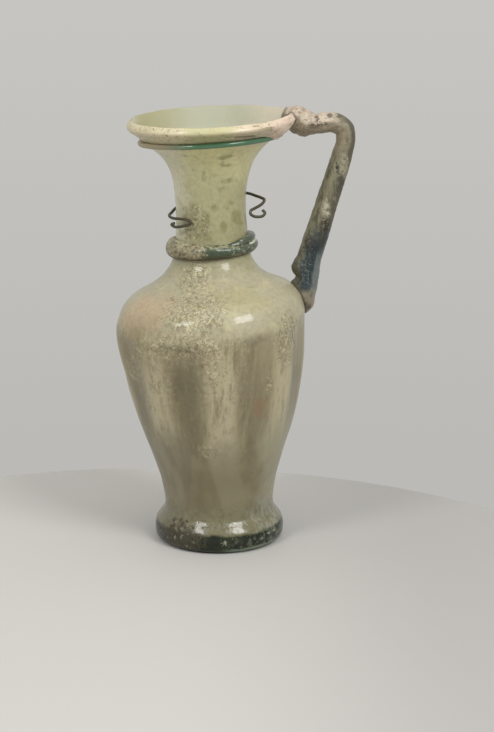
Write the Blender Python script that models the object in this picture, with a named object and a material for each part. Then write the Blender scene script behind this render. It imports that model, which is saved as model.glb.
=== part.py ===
"""Glass jug: blown and fluted body, drawn handle, two applied trails and a bronze neck wire.

Metres, +Z up. The origin is the centre of the flat underside, the front is -Y and the handle
stands towards +X. Whatever touches the vessel takes its place from the vessel's own outline.
"""

import math

import bmesh
import bpy
from mathutils import Matrix, Vector

# Vessel: heights are measured up the vessel's own axis from its underside
FOOT_FLAT_RADIUS = 0.0252
FOOT_RADIUS = 0.0280
FOOT_BULGE_HEIGHT = 0.0050
WAIST_RADIUS = 0.0235
WAIST_HEIGHT = 0.0165
SHOULDER_RADIUS = 0.0399
SHOULDER_HEIGHT = 0.0965
NECK_ROOT_RADIUS = 0.0163
NECK_ROOT_HEIGHT = 0.1240
NECK_RADIUS = 0.0146
NECK_HEIGHT = 0.1430
SEAT_RADIUS = 0.0284
LIP_RADIUS = 0.0346
LIP_BAND = 0.0072
LIP_DEPTH = 0.0045
RIM_HEIGHT = 0.1816
SEAT_DROP = 0.0080
SEAT_HEIGHT = RIM_HEIGHT - SEAT_DROP
WALL = 0.0019
BASE_THICKNESS = 0.0065

# Between two named rings: shares of the rise, and of the change in radius, that are done
FOOT_CORNER_SHARES = ((0.30, 0.78),)
FOOT_SHARES = ((0.26, 0.10), (0.44, 0.36), (0.61, 0.70), (0.78, 0.94))
BODY_SHARES = ((0.10, 0.055), (0.27, 0.28), (0.46, 0.59), (0.65, 0.82), (0.87, 0.965))
SHOULDER_SHARES = ((0.16, 0.04), (0.31, 0.11), (0.45, 0.26), (0.60, 0.59), (0.78, 0.857))
NECK_SHARES = ((0.42, 0.70),)
MOUTH_SHARES = ((0.34, 0.045), (0.52, 0.13), (0.65, 0.245), (0.77, 0.43), (0.87, 0.66))

# The lip's points, as shares: out past the seat or in over its depth, and down its band from the rim
LIP_UNDER_SHARES = (0.45, 0.80)
LIP_EDGE_SHARE = 0.34
LIP_TOP_SHARE = 0.35
LIP_INNER_SHARE = 0.30

# Flutes pressed into the body
FLUTE_COUNT = 8
FLUTE_DEPTH = 0.0018
FLUTE_FIRST_ANGLE = -17.0
FLUTE_TOP = 0.0990
FLUTE_TOP_RAMP = 0.0058
FLUTE_FULL = 0.0720
FLUTE_BOTTOM = 0.0370

# Sag of the soft glass. Heights and sideways leans are shares of the rim's height, tilts are degrees
LEAN_X_SHARES = ((0.06, 0.0), (0.25, -0.0045), (0.39, -0.009), (0.53, -0.018), (0.70, -0.0145),
                 (0.83, -0.0167), (1.0, -0.015))
LEAN_Y_SHARES = ((0.03, 0.0), (0.28, -0.0095), (0.55, -0.0193), (1.0, -0.0193))
TILT_X_ANGLES = ((0.33, 0.0), (0.53, 5.1), (0.66, 4.0), (0.83, 2.0), (0.955, 3.8), (1.0, 2.4))
TILT_Y_ANGLES = ((0.33, 0.0), (0.53, 4.4), (0.66, 1.6), (0.83, 1.6), (0.955, 1.9), (1.0, 4.0))

# Handle: the bend is set from the rim's edge, the lower end from the shoulder's skin
HANDLE_ANGLE = 8.0
HANDLE_REACH = 0.0217
HANDLE_FOOT_HEIGHT = 0.1045
HANDLE_THICKNESS = 0.0086
HANDLE_WIDTH = 0.0094
HANDLE_SIDES = 12
# Centre line in reaches outward and up, with the section's thickness and width as shares
HANDLE_TOP_SHARES = ((-0.20, -0.05, 0.75, 0.80), (-0.02, -0.13, 1.25, 1.45), (0.16, -0.21, 1.28, 1.45),
                     (0.45, -0.24, 0.98, 1.12), (0.74, -0.22, 0.98, 1.05), (0.97, -0.33, 0.92, 1.02),
                     (1.01, -0.59, 0.92, 1.00), (0.945, -0.84, 1.00, 1.00))
HANDLE_FOOT_SHARES = ((0.20, 0.63, 1.20, 1.05), (0.11, 0.33, 1.50, 1.20), (0.09, 0.01, 1.34, 1.40),
                      (0.12, -0.27, 0.86, 1.05), (0.09, -0.41, 0.34, 0.50))

# Applied trails and the wire
TRAIL_HEIGHT = 0.1281
TRAIL_BAND = 0.0066
TRAIL_PROUD = 0.0038
STRAND_THICKNESS = 0.0034
# The coil's lapping end: degrees round, rise above the coil's middle in its bands, share of thickness
STRAND_SHARES = ((-72.0, 0.10, 0.50), (-60.0, 0.18, 0.85), (-48.0, 0.27, 1.0), (-34.0, 0.37, 1.0),
                 (-18.0, 0.44, 1.0), (0.0, 0.43, 1.0), (20.0, 0.36, 0.95), (40.0, 0.26, 0.85),
                 (58.0, 0.12, 0.55))
THREAD_THICKNESS = 0.0021
WIRE_THICKNESS = 0.0012
WIRE_HEIGHT = 0.1470
# Degrees round, rise above the wire's level and distance off the neck, both in wire thicknesses
WIRE_SHARES = ((-144.0, -5.9, 2.3), (-148.0, -6.4, 2.7), (-143.0, -7.0, 2.5), (-134.0, -6.9, 1.9),
               (-127.0, -6.5, 1.5), (-120.0, -6.1, 1.2), (-118.0, -5.2, 1.1), (-125.0, -4.5, 1.2),
               (-136.0, -4.4, 1.4), (-147.0, -4.5, 1.7), (-160.0, -4.4, 1.8), (-172.0, -4.1, 1.5),
               (-182.0, -3.6, 0.6), (-192.0, -3.0, 0.1), (-212.0, -2.4, 0.0), (-240.0, -1.3, 0.0),
               (-270.0, -0.3, 0.0), (-300.0, 0.6, 0.0), (-325.0, 1.2, 0.0), (-340.0, 1.4, 0.3),
               (-351.0, 1.4, 1.0), (-360.0, 1.0, 2.6), (-366.0, 0.6, 4.4), (-369.0, -0.1, 5.8),
               (-370.0, -0.9, 5.5), (-373.0, -2.0, 4.2), (-375.0, -2.8, 2.7), (-378.0, -3.5, 1.6),
               (-380.0, -4.5, 1.7), (-380.0, -5.3, 2.8), (-378.0, -5.6, 4.3), (-377.0, -5.3, 5.8),
               (-375.0, -4.4, 6.4), (-374.0, -3.4, 5.5))

CLEARANCE = 0.0003
SIDES = 56
THREAD_SIDES = 40
FINE_STEPS = 2
FLOOR_STEPS = 5
ROW_SPACING = 0.0014
TRAIL_TURN_ANGLES = (-72.0, -36.0, 0.0, 36.0, 72.0)
TRAIL_FLAT_SHARE = 0.9
STRAND_SIDES = 8
THREAD_SECTION_SIDES = 6
SHARP_ANGLE = 50.0
MERGE_DISTANCE = 1e-6


def blend(low, high, share):
    """The value a share of the way from low to high."""
    return low + (high - low) * share


def eased(share):
    """A share of 0 to 1 that starts and ends level."""
    share = min(1.0, max(0.0, share))
    return share * share * (3.0 - 2.0 * share)


def from_table(table, height):
    """Eased value of a table of (height, value), level before its first and after its last row."""
    value = table[0][1]
    for (low, start), (high, end) in zip(table, table[1:]):
        if height > low:
            value = blend(start, end, eased((height - low) / (high - low)))
    return value


def wall_rings():
    """(height, radius) of the rings that the outside passes through, from foot to thread seat."""
    rings = [(FOOT_BULGE_HEIGHT, FOOT_RADIUS)]
    spans = ((WAIST_HEIGHT, WAIST_RADIUS, FOOT_SHARES),
             (SHOULDER_HEIGHT, SHOULDER_RADIUS, BODY_SHARES),
             (NECK_ROOT_HEIGHT, NECK_ROOT_RADIUS, SHOULDER_SHARES),
             (NECK_HEIGHT, NECK_RADIUS, NECK_SHARES),
             (SEAT_HEIGHT, SEAT_RADIUS, MOUTH_SHARES))
    for height, radius, curve in spans:
        low, start = rings[-1]
        for rise, change in curve:
            rings.append((blend(low, height, rise), blend(start, radius, change)))
        rings.append((height, radius))
    return rings


def ring_slopes(rings):
    """Slope of the outside at each ring, level where it is widest or narrowest."""
    steps = [(r_1 - r_0) / (h_1 - h_0) for (h_0, r_0), (h_1, r_1) in zip(rings, rings[1:])]
    slopes = [0.0]
    for before, after in zip(steps, steps[1:]):
        turns = before * after <= 0.0
        slopes.append(0.0 if turns else 2.0 * before * after / (before + after))
    slopes.append(steps[-1])
    return slopes


WALL_RINGS = wall_rings()
WALL_SLOPES = ring_slopes(WALL_RINGS)


def wall_radius(height):
    """Outer radius of the vessel at a height between the foot's bulge and the thread seat."""
    height = min(SEAT_HEIGHT, max(FOOT_BULGE_HEIGHT, height))
    index = max(i for i, (ring, _) in enumerate(WALL_RINGS[:-1]) if ring <= height)
    (low, start), (high, end) = WALL_RINGS[index:index + 2]
    span = high - low
    t = (height - low) / span
    pull = span * t * (1.0 - t)
    return (blend(start, end, eased(t))
            + pull * (WALL_SLOPES[index] * (1.0 - t) - WALL_SLOPES[index + 1] * t))


def wall_heights():
    """Heights of the wall's rows, closer together where the outline or the flutes turn fast."""
    spans = ((FOOT_BULGE_HEIGHT, WAIST_HEIGHT, 5),
             (WAIST_HEIGHT, FLUTE_BOTTOM, 3),
             (FLUTE_BOTTOM, FLUTE_FULL, 4),
             (FLUTE_FULL, FLUTE_TOP - FLUTE_TOP_RAMP, 2),
             (FLUTE_TOP - FLUTE_TOP_RAMP, FLUTE_TOP, 2),
             (SHOULDER_HEIGHT, NECK_ROOT_HEIGHT, 8),
             (NECK_ROOT_HEIGHT, NECK_HEIGHT, 2),
             (NECK_HEIGHT, SEAT_HEIGHT, 7))
    heights = {SEAT_HEIGHT}
    for low, high, count in spans:
        heights.update(blend(low, high, step / count) for step in range(count))
    rows = [FOOT_BULGE_HEIGHT]
    for height in sorted(heights):
        if rows[-1] + ROW_SPACING < height <= SEAT_HEIGHT:
            rows.append(height)
    return rows


def smooth_line(points, steps):
    """A smooth curve through the points, with a number of steps from each to the next."""
    reach = [(b - a).length for a, b in zip(points, points[1:])]
    pace = [(b - a) / length for a, b, length in zip(points, points[1:], reach)]
    tangents = [pace[0]]
    for i in range(1, len(pace)):
        tangents.append((pace[i - 1] * reach[i] + pace[i] * reach[i - 1]) / (reach[i - 1] + reach[i]))
    tangents.append(pace[-1])
    line = []
    for i, length in enumerate(reach):
        for step in range(steps):
            t = step / steps
            pull = length * t * (1.0 - t)
            bow = tangents[i] * (1.0 - t) - tangents[i + 1] * t
            line.append(points[i].lerp(points[i + 1], eased(t)) + bow * pull)
    line.append(points[-1])
    return line


def moved_out(line, distance):
    """A line of (radius, height) that runs upwards, moved outwards by a distance."""
    moved = []
    for i, point in enumerate(line):
        along = line[min(i + 1, len(line) - 1)] - line[max(i - 1, 0)]
        moved.append(point + Vector((along.y, -along.x)).normalized() * distance)
    return moved


def foot_line():
    """Rounded edge of the foot, from its flat underside up to its bulge."""
    line = [Vector((FOOT_FLAT_RADIUS, 0.0))]
    for rise, change in FOOT_CORNER_SHARES:
        line.append(Vector((blend(FOOT_FLAT_RADIUS, FOOT_RADIUS, change), FOOT_BULGE_HEIGHT * rise)))
    line.append(Vector((FOOT_RADIUS, FOOT_BULGE_HEIGHT)))
    return line


def wall_line():
    """The wall's outside from the foot's bulge to the thread seat."""
    return [Vector((wall_radius(height), height)) for height in wall_heights()]


def lip_line(seat, inner_seat):
    """The folded lip, from the thread seat round its edge to the inside of the mouth."""
    out, down = LIP_UNDER_SHARES
    under = Vector((blend(SEAT_RADIUS, LIP_RADIUS, out), RIM_HEIGHT - LIP_BAND * down))
    edge = Vector((LIP_RADIUS, RIM_HEIGHT - LIP_BAND * LIP_EDGE_SHARE))
    top = Vector((LIP_RADIUS - LIP_DEPTH * LIP_TOP_SHARE, RIM_HEIGHT))
    inner_edge = Vector((LIP_RADIUS - LIP_DEPTH, RIM_HEIGHT - LIP_BAND * LIP_INNER_SHARE))
    return smooth_line([seat, under, edge, top, inner_edge, inner_seat], FINE_STEPS)


def floor_line(start):
    """The rounded inside of the foot, from the wall in to the centre of the floor."""
    line = []
    for step in range(1, FLOOR_STEPS + 1):
        turn = math.pi / 2.0 * step / FLOOR_STEPS
        drop = (start.y - BASE_THICKNESS) * math.sin(turn)
        line.append(Vector((start.x * math.cos(turn), start.y - drop)))
    line[-1].x = 0.0
    return line


def vessel_line():
    """The vessel's whole outline: underside, outside, lip, inside and floor."""
    outside = wall_line()
    inside = moved_out(outside, -WALL)
    inner_wall = [point for point in inside if point.y > WAIST_HEIGHT]
    inner_wall = inner_wall[:-1][::2] + inner_wall[-1:]
    lip = lip_line(outside[-1], inner_wall[-1])
    floor = floor_line(inner_wall[0])
    centre = [Vector((0.0, 0.0))]
    return centre + foot_line() + outside[1:-1] + lip + inner_wall[-2::-1] + floor


def block_line(grow):
    """Outline of the vessel as a solid block with a flat lid, larger all round by grow."""
    outside = wall_line()
    lip = lip_line(outside[-1], outside[-1])
    to_top = lip[:3 * FINE_STEPS + 1]
    shell = moved_out(foot_line() + outside[1:-1] + to_top, grow)
    shell[-1] = to_top[-1] + Vector((0.0, grow))
    return [Vector((0.0, -grow))] + shell + [Vector((0.0, RIM_HEIGHT + grow))]


def flute_inset(angle, height):
    """How far a flute draws the wall in at an angle in radians and a height."""
    top = eased((FLUTE_TOP - height) / FLUTE_TOP_RAMP)
    bottom = eased((height - FLUTE_BOTTOM) / (FLUTE_FULL - FLUTE_BOTTOM))
    wave = 0.5 + 0.5 * math.cos(FLUTE_COUNT * (angle - math.radians(FLUTE_FIRST_ANGLE)))
    return FLUTE_DEPTH * top * bottom * wave


def settled(radius, angle, height):
    """World place of a point given round the vessel's axis, after its flutes, lean and tilt."""
    share = height / RIM_HEIGHT
    reach = radius - flute_inset(angle, height) * min(1.0, radius / WAIST_RADIUS)
    x = reach * math.cos(angle)
    y = reach * math.sin(angle)
    rise = (x * math.tan(math.radians(from_table(TILT_X_ANGLES, share)))
            + y * math.tan(math.radians(from_table(TILT_Y_ANGLES, share))))
    return Vector((x + from_table(LEAN_X_SHARES, share) * RIM_HEIGHT,
                   y + from_table(LEAN_Y_SHARES, share) * RIM_HEIGHT,
                   height + rise))


def new_material(name, colour, roughness, metallic=0.0, transmission=0.0):
    """A Principled material in a linear colour."""
    material = bpy.data.materials.new(name)
    material.use_nodes = True
    shader = material.node_tree.nodes["Principled BSDF"]
    shader.inputs["Base Color"].default_value = (*colour, 1.0)
    shader.inputs["Roughness"].default_value = roughness
    shader.inputs["Metallic"].default_value = metallic
    shader.inputs["Transmission Weight"].default_value = transmission
    return material


def new_object(name, bm, material):
    """An object from a bmesh, with its doubles merged, its faces out and its shading smooth."""
    bmesh.ops.remove_doubles(bm, verts=bm.verts, dist=MERGE_DISTANCE)
    bmesh.ops.recalc_face_normals(bm, faces=bm.faces)
    mesh = bpy.data.meshes.new(name)
    bm.to_mesh(mesh)
    bm.free()
    mesh.shade_smooth()
    mesh.set_sharp_from_angle(angle=math.radians(SHARP_ANGLE))
    mesh.materials.append(material)
    obj = bpy.data.objects.new(name, mesh)
    bpy.context.scene.collection.objects.link(obj)
    return obj


def spun(name, line, material, closed=False, sides=SIDES):
    """A line of (radius, height) turned about the axis, then settled as the vessel is."""
    bm = bmesh.new()
    verts = [bm.verts.new((point.x, 0.0, point.y)) for point in line]
    pairs = list(zip(verts, verts[1:]))
    if closed:
        pairs.append((verts[-1], verts[0]))
    edges = [bm.edges.new(pair) for pair in pairs]
    bmesh.ops.spin(bm, geom=verts + edges, cent=(0.0, 0.0, 0.0), axis=(0.0, 0.0, 1.0),
                   dvec=(0.0, 0.0, 0.0), angle=2.0 * math.pi, steps=sides, use_merge=True,
                   use_duplicate=False)
    bmesh.ops.remove_doubles(bm, verts=bm.verts, dist=MERGE_DISTANCE)
    for vert in bm.verts:
        radius = math.hypot(vert.co.x, vert.co.y)
        vert.co = settled(radius, math.atan2(vert.co.y, vert.co.x), vert.co.z)
    return new_object(name, bm, material)


def rod(name, rings, sides, material):
    """A closed rod through rings of (centre, side axis, up axis), both axes half the section."""
    bm = bmesh.new()
    loops = []
    for centre, side, up in rings:
        face = Matrix((side, up, side.cross(up).normalized())).transposed().to_4x4()
        face.translation = centre
        ring = bmesh.ops.create_circle(bm, cap_ends=False, segments=sides, radius=1.0, matrix=face)
        loops.append(list({edge for vert in ring["verts"] for edge in vert.link_edges}))
    bmesh.ops.edgeloop_fill(bm, edges=loops[0])
    bmesh.ops.edgeloop_fill(bm, edges=loops[-1])
    for start, end in zip(loops, loops[1:]):
        bmesh.ops.bridge_loops(bm, edges=start + end)
    return new_object(name, bm, material)


def add_boolean(obj, operation, guide):
    """A Boolean modifier on obj with a guide object, which is then left out of the model."""
    guide.hide_render = True
    guide.display_type = "WIRE"
    modifier = obj.modifiers.new(operation.lower(), "BOOLEAN")
    modifier.operation = operation
    modifier.solver = "EXACT"
    modifier.object = guide


def make_vessel(material):
    """The blown body with its foot, neck, mouth and lip."""
    return spun("vessel", vessel_line(), material)


def handle_rings():
    """Rings of the handle: over the rim, out to the bend, and down the shaft to the shoulder."""
    angle = math.radians(HANDLE_ANGLE)
    outward = Vector((math.cos(angle), math.sin(angle), 0.0))
    side = Vector((-math.sin(angle), math.cos(angle), 0.0))
    rim = settled(LIP_RADIUS, angle, RIM_HEIGHT)
    shoulder = settled(wall_radius(HANDLE_FOOT_HEIGHT), angle, HANDLE_FOOT_HEIGHT)
    keys = []
    for start, table in ((rim, HANDLE_TOP_SHARES), (shoulder, HANDLE_FOOT_SHARES)):
        for out, up, thickness, width in table:
            place = start + outward * (out * HANDLE_REACH) + Vector((0.0, 0.0, up * HANDLE_REACH))
            keys.append((place, thickness * HANDLE_THICKNESS / 2.0, width * HANDLE_WIDTH / 2.0))
    middle = len(HANDLE_TOP_SHARES)
    upper, lower = keys[middle - 1], keys[middle]
    keys.insert(middle, tuple(blend(a, b, 0.5) for a, b in zip(upper, lower)))
    line = smooth_line([key[0] for key in keys], FINE_STEPS)
    halves = smooth_line([Vector(key[1:]) for key in keys], FINE_STEPS)
    rings = []
    for i, (centre, half) in enumerate(zip(line, halves)):
        along = (line[min(i + 1, len(line) - 1)] - line[max(i - 1, 0)]).normalized()
        rings.append((centre, side * half.y, along.cross(side) * half.x))
    return rings


def make_handle(material, vessel_block):
    """The handle, cut to seat on the lip and on the shoulder."""
    handle = rod("handle", handle_rings(), HANDLE_SIDES, material)
    add_boolean(handle, "DIFFERENCE", vessel_block)
    return handle


def trail_section():
    """Section of the neck coil: round outside, and following the neck inside."""
    half = TRAIL_BAND / 2.0
    middle = wall_radius(TRAIL_HEIGHT)
    section = []
    for turn in TRAIL_TURN_ANGLES:
        rise = half * math.sin(math.radians(turn))
        section.append(Vector((middle + TRAIL_PROUD * math.cos(math.radians(turn)), TRAIL_HEIGHT + rise)))
    for share in (TRAIL_FLAT_SHARE, -TRAIL_FLAT_SHARE):
        height = TRAIL_HEIGHT + half * share
        section.append(Vector((wall_radius(height) + CLEARANCE, height)))
    return section


def strand_rings():
    """Rings of the coil's lapping end, which climbs over the coil and sinks back into it."""
    centres = []
    halves = []
    for degrees, rise, share in STRAND_SHARES:
        height = TRAIL_HEIGHT + rise * TRAIL_BAND
        radius = wall_radius(height) + CLEARANCE + STRAND_THICKNESS / 2.0
        centres.append(settled(radius, math.radians(degrees), height))
        halves.append(STRAND_THICKNESS * share / 2.0)
    rings = []
    for i, (centre, half) in enumerate(zip(centres, halves)):
        along = (centres[min(i + 1, len(centres) - 1)] - centres[max(i - 1, 0)]).normalized()
        side = along.cross(Vector((0.0, 0.0, 1.0))).normalized()
        rings.append((centre, side * half, side.cross(along) * half))
    return rings


def make_neck_trail(material):
    """The coil at the root of the neck, joined with its lapping end."""
    trail = spun("neck_trail", trail_section(), material, closed=True)
    strand = rod("neck_trail_end", strand_rings(), STRAND_SIDES, material)
    add_boolean(trail, "UNION", strand)
    return trail


def make_rim_thread(material):
    """The fine thread laid round the mouth in the seat under the lip."""
    seat_outside = wall_line()[-2:]
    seat = moved_out(seat_outside, CLEARANCE + THREAD_THICKNESS / 2.0)[-1]
    section = []
    for side in range(THREAD_SECTION_SIDES):
        turn = 2.0 * math.pi * side / THREAD_SECTION_SIDES
        section.append(seat + Vector((math.cos(turn), math.sin(turn))) * (THREAD_THICKNESS / 2.0))
    return spun("rim_thread", section, material, closed=True, sides=THREAD_SIDES)


def make_neck_wire(material):
    """The bent bronze wire round the back of the neck, with a scroll at each end."""
    keys = []
    for degrees, rise, off in WIRE_SHARES:
        height = WIRE_HEIGHT + rise * WIRE_THICKNESS
        radius = wall_radius(height) + CLEARANCE + (off + 0.5) * WIRE_THICKNESS
        keys.append(settled(radius, math.radians(degrees), height))
    line = smooth_line(keys, FINE_STEPS)
    curve = bpy.data.curves.new("neck_wire", "CURVE")
    curve.dimensions = "3D"
    curve.bevel_depth = WIRE_THICKNESS / 2.0
    curve.bevel_resolution = 1
    curve.use_fill_caps = True
    spline = curve.splines.new("POLY")
    spline.points.add(len(line) - 1)
    for point, place in zip(spline.points, line):
        point.co = (*place, 1.0)
    curve.materials.append(material)
    wire = bpy.data.objects.new("neck_wire", curve)
    bpy.context.scene.collection.objects.link(wire)
    return wire


def build():
    """Clears the scene and makes every piece of the jug."""
    for obj in list(bpy.data.objects):
        bpy.data.objects.remove(obj, do_unlink=True)
    weathered = new_material("weathered_pale_green_glass", (0.42, 0.38, 0.24), 0.45, transmission=0.3)
    blue_green = new_material("blue_green_handle_glass", (0.20, 0.20, 0.16), 0.5)
    trail_glass = new_material("dark_green_trail_glass", (0.14, 0.17, 0.13), 0.45)
    thread_glass = new_material("sea_green_thread_glass", (0.08, 0.22, 0.13), 0.2, transmission=0.3)
    bronze = new_material("dark_bronze", (0.09, 0.075, 0.05), 0.55, metallic=0.8)
    make_vessel(weathered)
    vessel_block = spun("vessel_block", block_line(CLEARANCE), weathered)
    make_handle(blue_green, vessel_block)
    make_neck_trail(trail_glass)
    make_rim_thread(thread_glass)
    make_neck_wire(bronze)


build()
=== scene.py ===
"""Ancient glass jug: the visual model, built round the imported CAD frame.

Every piece stands where its CAD node stands. The vessel, the handle, the two applied trails and the
wire are each made again with finer forms, and flakes and chalk of crust are laid on them.
"""
import math

import bmesh
import bpy
from mathutils import Matrix, Vector, noise


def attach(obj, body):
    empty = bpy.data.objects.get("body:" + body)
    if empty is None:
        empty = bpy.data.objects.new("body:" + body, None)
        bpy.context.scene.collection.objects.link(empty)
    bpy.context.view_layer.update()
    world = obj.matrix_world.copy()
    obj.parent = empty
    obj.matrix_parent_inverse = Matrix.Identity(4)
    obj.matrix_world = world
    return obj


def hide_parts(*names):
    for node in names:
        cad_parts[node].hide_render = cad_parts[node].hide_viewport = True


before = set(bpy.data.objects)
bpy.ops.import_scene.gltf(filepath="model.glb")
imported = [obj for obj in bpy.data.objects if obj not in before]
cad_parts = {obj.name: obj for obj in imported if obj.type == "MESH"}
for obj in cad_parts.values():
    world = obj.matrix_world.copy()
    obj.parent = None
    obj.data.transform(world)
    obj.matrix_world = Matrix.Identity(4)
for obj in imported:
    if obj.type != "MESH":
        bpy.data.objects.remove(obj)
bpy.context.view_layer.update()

bl_info = {
    "name": "Ancient Glass Jug",
    "version": (1, 0, 0),
    "blender": (4, 5, 0),
    "location": "View3D > Sidebar > Jug",
    "description": "Builds a weathered glass jug with its handle, trails and bronze wire",
    "category": "Add Mesh",
}

MM = 0.001

# Heights of the vessel's rings above its underside, and the radii that no setting drives. The lip
# swells and sags beside the handle, and the painted shadow line along its top breaks off there. Both
# angles and spreads are in degrees
FOOT_FLAT_RADIUS = 25.2 * MM
FOOT_BULGE_HEIGHT = 5.0 * MM
WAIST_HEIGHT = 16.5 * MM
SHOULDER_HEIGHT = 96.5 * MM
NECK_ROOT_RADIUS = 16.3 * MM
NECK_ROOT_HEIGHT = 124.0 * MM
NECK_HEIGHT = 143.0 * MM
SEAT_RADIUS = 28.4 * MM
SEAT_DROP = 8.0 * MM
LIP_BAND = 7.2 * MM
LIP_DEPTH = 4.5 * MM
LIP_TOP = 0.35
LIP_SAG = 2.9 * MM
LIP_SWELLING_ANGLE = -26.0
LIP_SWELLING_SPREAD = 15.0
RIM_LINE_WIDTH = 0.45 * MM
RIM_LINE_GAP_ANGLE = -30.0
RIM_LINE_GAP_SPREAD = 40.0
BASE_THICKNESS = 6.5 * MM

# Between two named rings: shares of the rise, and of the change in radius, that are done
FOOT_CORNER = ((0.30, 0.78),)
FOOT_CURVE = ((0.26, 0.10), (0.44, 0.36), (0.61, 0.70), (0.78, 0.94))
BODY_CURVE = ((0.10, 0.055), (0.27, 0.28), (0.46, 0.59), (0.65, 0.82), (0.87, 0.965))
SHOULDER_CURVE = ((0.16, 0.04), (0.31, 0.11), (0.45, 0.26), (0.60, 0.59), (0.78, 0.857))
NECK_CURVE = ((0.42, 0.70),)
MOUTH_CURVE = ((0.34, 0.045), (0.52, 0.13), (0.65, 0.245), (0.77, 0.43), (0.87, 0.66))

# Flutes pressed into the body
FLUTE_COUNT = 8
FLUTE_FIRST_ANGLE = -17.0
FLUTE_TOP = 99.0 * MM
FLUTE_TOP_RAMP = 5.8 * MM
FLUTE_FULL = 72.0 * MM
FLUTE_BOTTOM = 37.0 * MM
# Lower end of the flutes' darker crust and painted shade, below the flutes themselves
FLUTE_SHADE_AND_STAIN_BOTTOM = 24.0 * MM

# Sag of the soft glass. Heights and sideways leans are shares of the rim's height, tilts are degrees
LEAN_X = ((0.06, 0.0), (0.25, -0.0045), (0.39, -0.009), (0.53, -0.018), (0.70, -0.0145),
          (0.83, -0.0167), (1.0, -0.015))
LEAN_Y = ((0.03, 0.0), (0.28, -0.0095), (0.55, -0.0193), (1.0, -0.0193))
TILT_X = ((0.33, 0.0), (0.53, 5.1), (0.66, 4.0), (0.83, 2.0), (0.955, 3.8), (1.0, 2.4))
TILT_Y = ((0.33, 0.0), (0.53, 4.4), (0.66, 1.6), (0.83, 1.6), (0.955, 1.9), (1.0, 4.0))

# Handle: centre line in reaches outward and up, with the section's thickness and width as shares. Its
# angle is in degrees round the jug, and its lean is how far its drawn streaks tilt, in degrees too. Its
# fold lies within a reach and above a height, and its seam runs where it comes near the vessel
HANDLE_ANGLE = 8.0
HANDLE_REACH = 21.7 * MM
HANDLE_FOOT_HEIGHT = 104.5 * MM
HANDLE_WEB = 3.0 * MM
HANDLE_WEB_HEIGHT = 114.6 * MM
HANDLE_WEB_ABOVE = 4.2 * MM
HANDLE_WEB_BELOW = 2.5 * MM
HANDLE_LEAN = 14.0
HANDLE_FOLD_REACH = 47.0 * MM
HANDLE_FOLD_HEIGHT = 170.0 * MM
SEAM_SEARCH = 3.0 * MM
SEAM_WIDTH = 0.9 * MM
HANDLE_TOP_LINE = ((-0.20, -0.05, 0.75, 0.80), (-0.02, -0.13, 1.25, 1.45), (0.16, -0.21, 1.28, 1.45),
                   (0.45, -0.24, 0.98, 1.12), (0.74, -0.22, 0.98, 1.05), (0.97, -0.33, 0.92, 1.02),
                   (1.01, -0.59, 0.92, 1.00), (0.945, -0.84, 1.00, 1.00))
HANDLE_FOOT_LINE = ((0.20, 0.63, 1.20, 1.05), (0.11, 0.33, 1.50, 1.20), (0.09, 0.01, 1.34, 1.40),
                    (0.12, -0.27, 0.86, 1.05), (0.09, -0.41, 0.34, 0.50))

# Applied trails and the wire. The coil's top edge stands fuller and lower at angles in degrees, by a share
# of its half height. What is off the glass is given in half thicknesses of the strand
TRAIL_HEIGHT = 128.1 * MM
TRAIL_PROUD = 3.8 * MM
TRAIL_SINK = 0.3 * MM
TRAIL_UNEVEN = 0.45
TRAIL_FULL_ANGLE = -165.0
TRAIL_FULL_SPREAD = 45.0
TRAIL_LOW_ANGLE = -15.0
TRAIL_LOW_SPREAD = 55.0
STRAND_THICKNESS = 3.4 * MM
STRAND_LIFT = 0.4 * MM
STRAND_OFF = 0.85
STRAND_LINE = ((-72.0, 0.10, 0.50), (-60.0, 0.18, 0.85), (-48.0, 0.27, 1.0), (-34.0, 0.37, 1.0),
               (-18.0, 0.44, 1.0), (0.0, 0.43, 1.0), (20.0, 0.36, 0.95), (40.0, 0.26, 0.85),
               (58.0, 0.12, 0.55))
GROOVE_DROP = 2.3 * MM
GROOVE_HALF = 0.75 * MM
GROOVE_OFF = 3.2
WIRE_HEIGHT = 147.0 * MM
WIRE_GAP = 0.3 * MM
# Degrees round, rise above the wire's level and distance off the neck, both in wire thicknesses
WIRE_LINE = ((-144.0, -5.9, 2.3), (-148.0, -6.4, 2.7), (-143.0, -7.0, 2.5), (-134.0, -6.9, 1.9),
             (-127.0, -6.5, 1.5), (-120.0, -6.1, 1.2), (-118.0, -5.2, 1.1), (-125.0, -4.5, 1.2),
             (-136.0, -4.4, 1.4), (-147.0, -4.5, 1.7), (-160.0, -4.4, 1.8), (-172.0, -4.1, 1.5),
             (-182.0, -3.6, 0.6), (-192.0, -3.0, 0.1), (-212.0, -2.4, 0.0), (-240.0, -1.3, 0.0),
             (-270.0, -0.3, 0.0), (-300.0, 0.6, 0.0), (-325.0, 1.2, 0.0), (-340.0, 1.4, 0.3),
             (-351.0, 1.4, 1.0), (-360.0, 1.0, 2.6), (-366.0, 0.6, 4.4), (-369.0, -0.1, 5.8),
             (-370.0, -0.9, 5.5), (-373.0, -2.0, 4.2), (-375.0, -2.8, 2.7), (-378.0, -3.5, 1.6),
             (-380.0, -4.5, 1.7), (-380.0, -5.3, 2.8), (-378.0, -5.6, 4.3), (-377.0, -5.3, 5.8),
             (-375.0, -4.4, 6.4), (-374.0, -3.4, 5.5))

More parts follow.
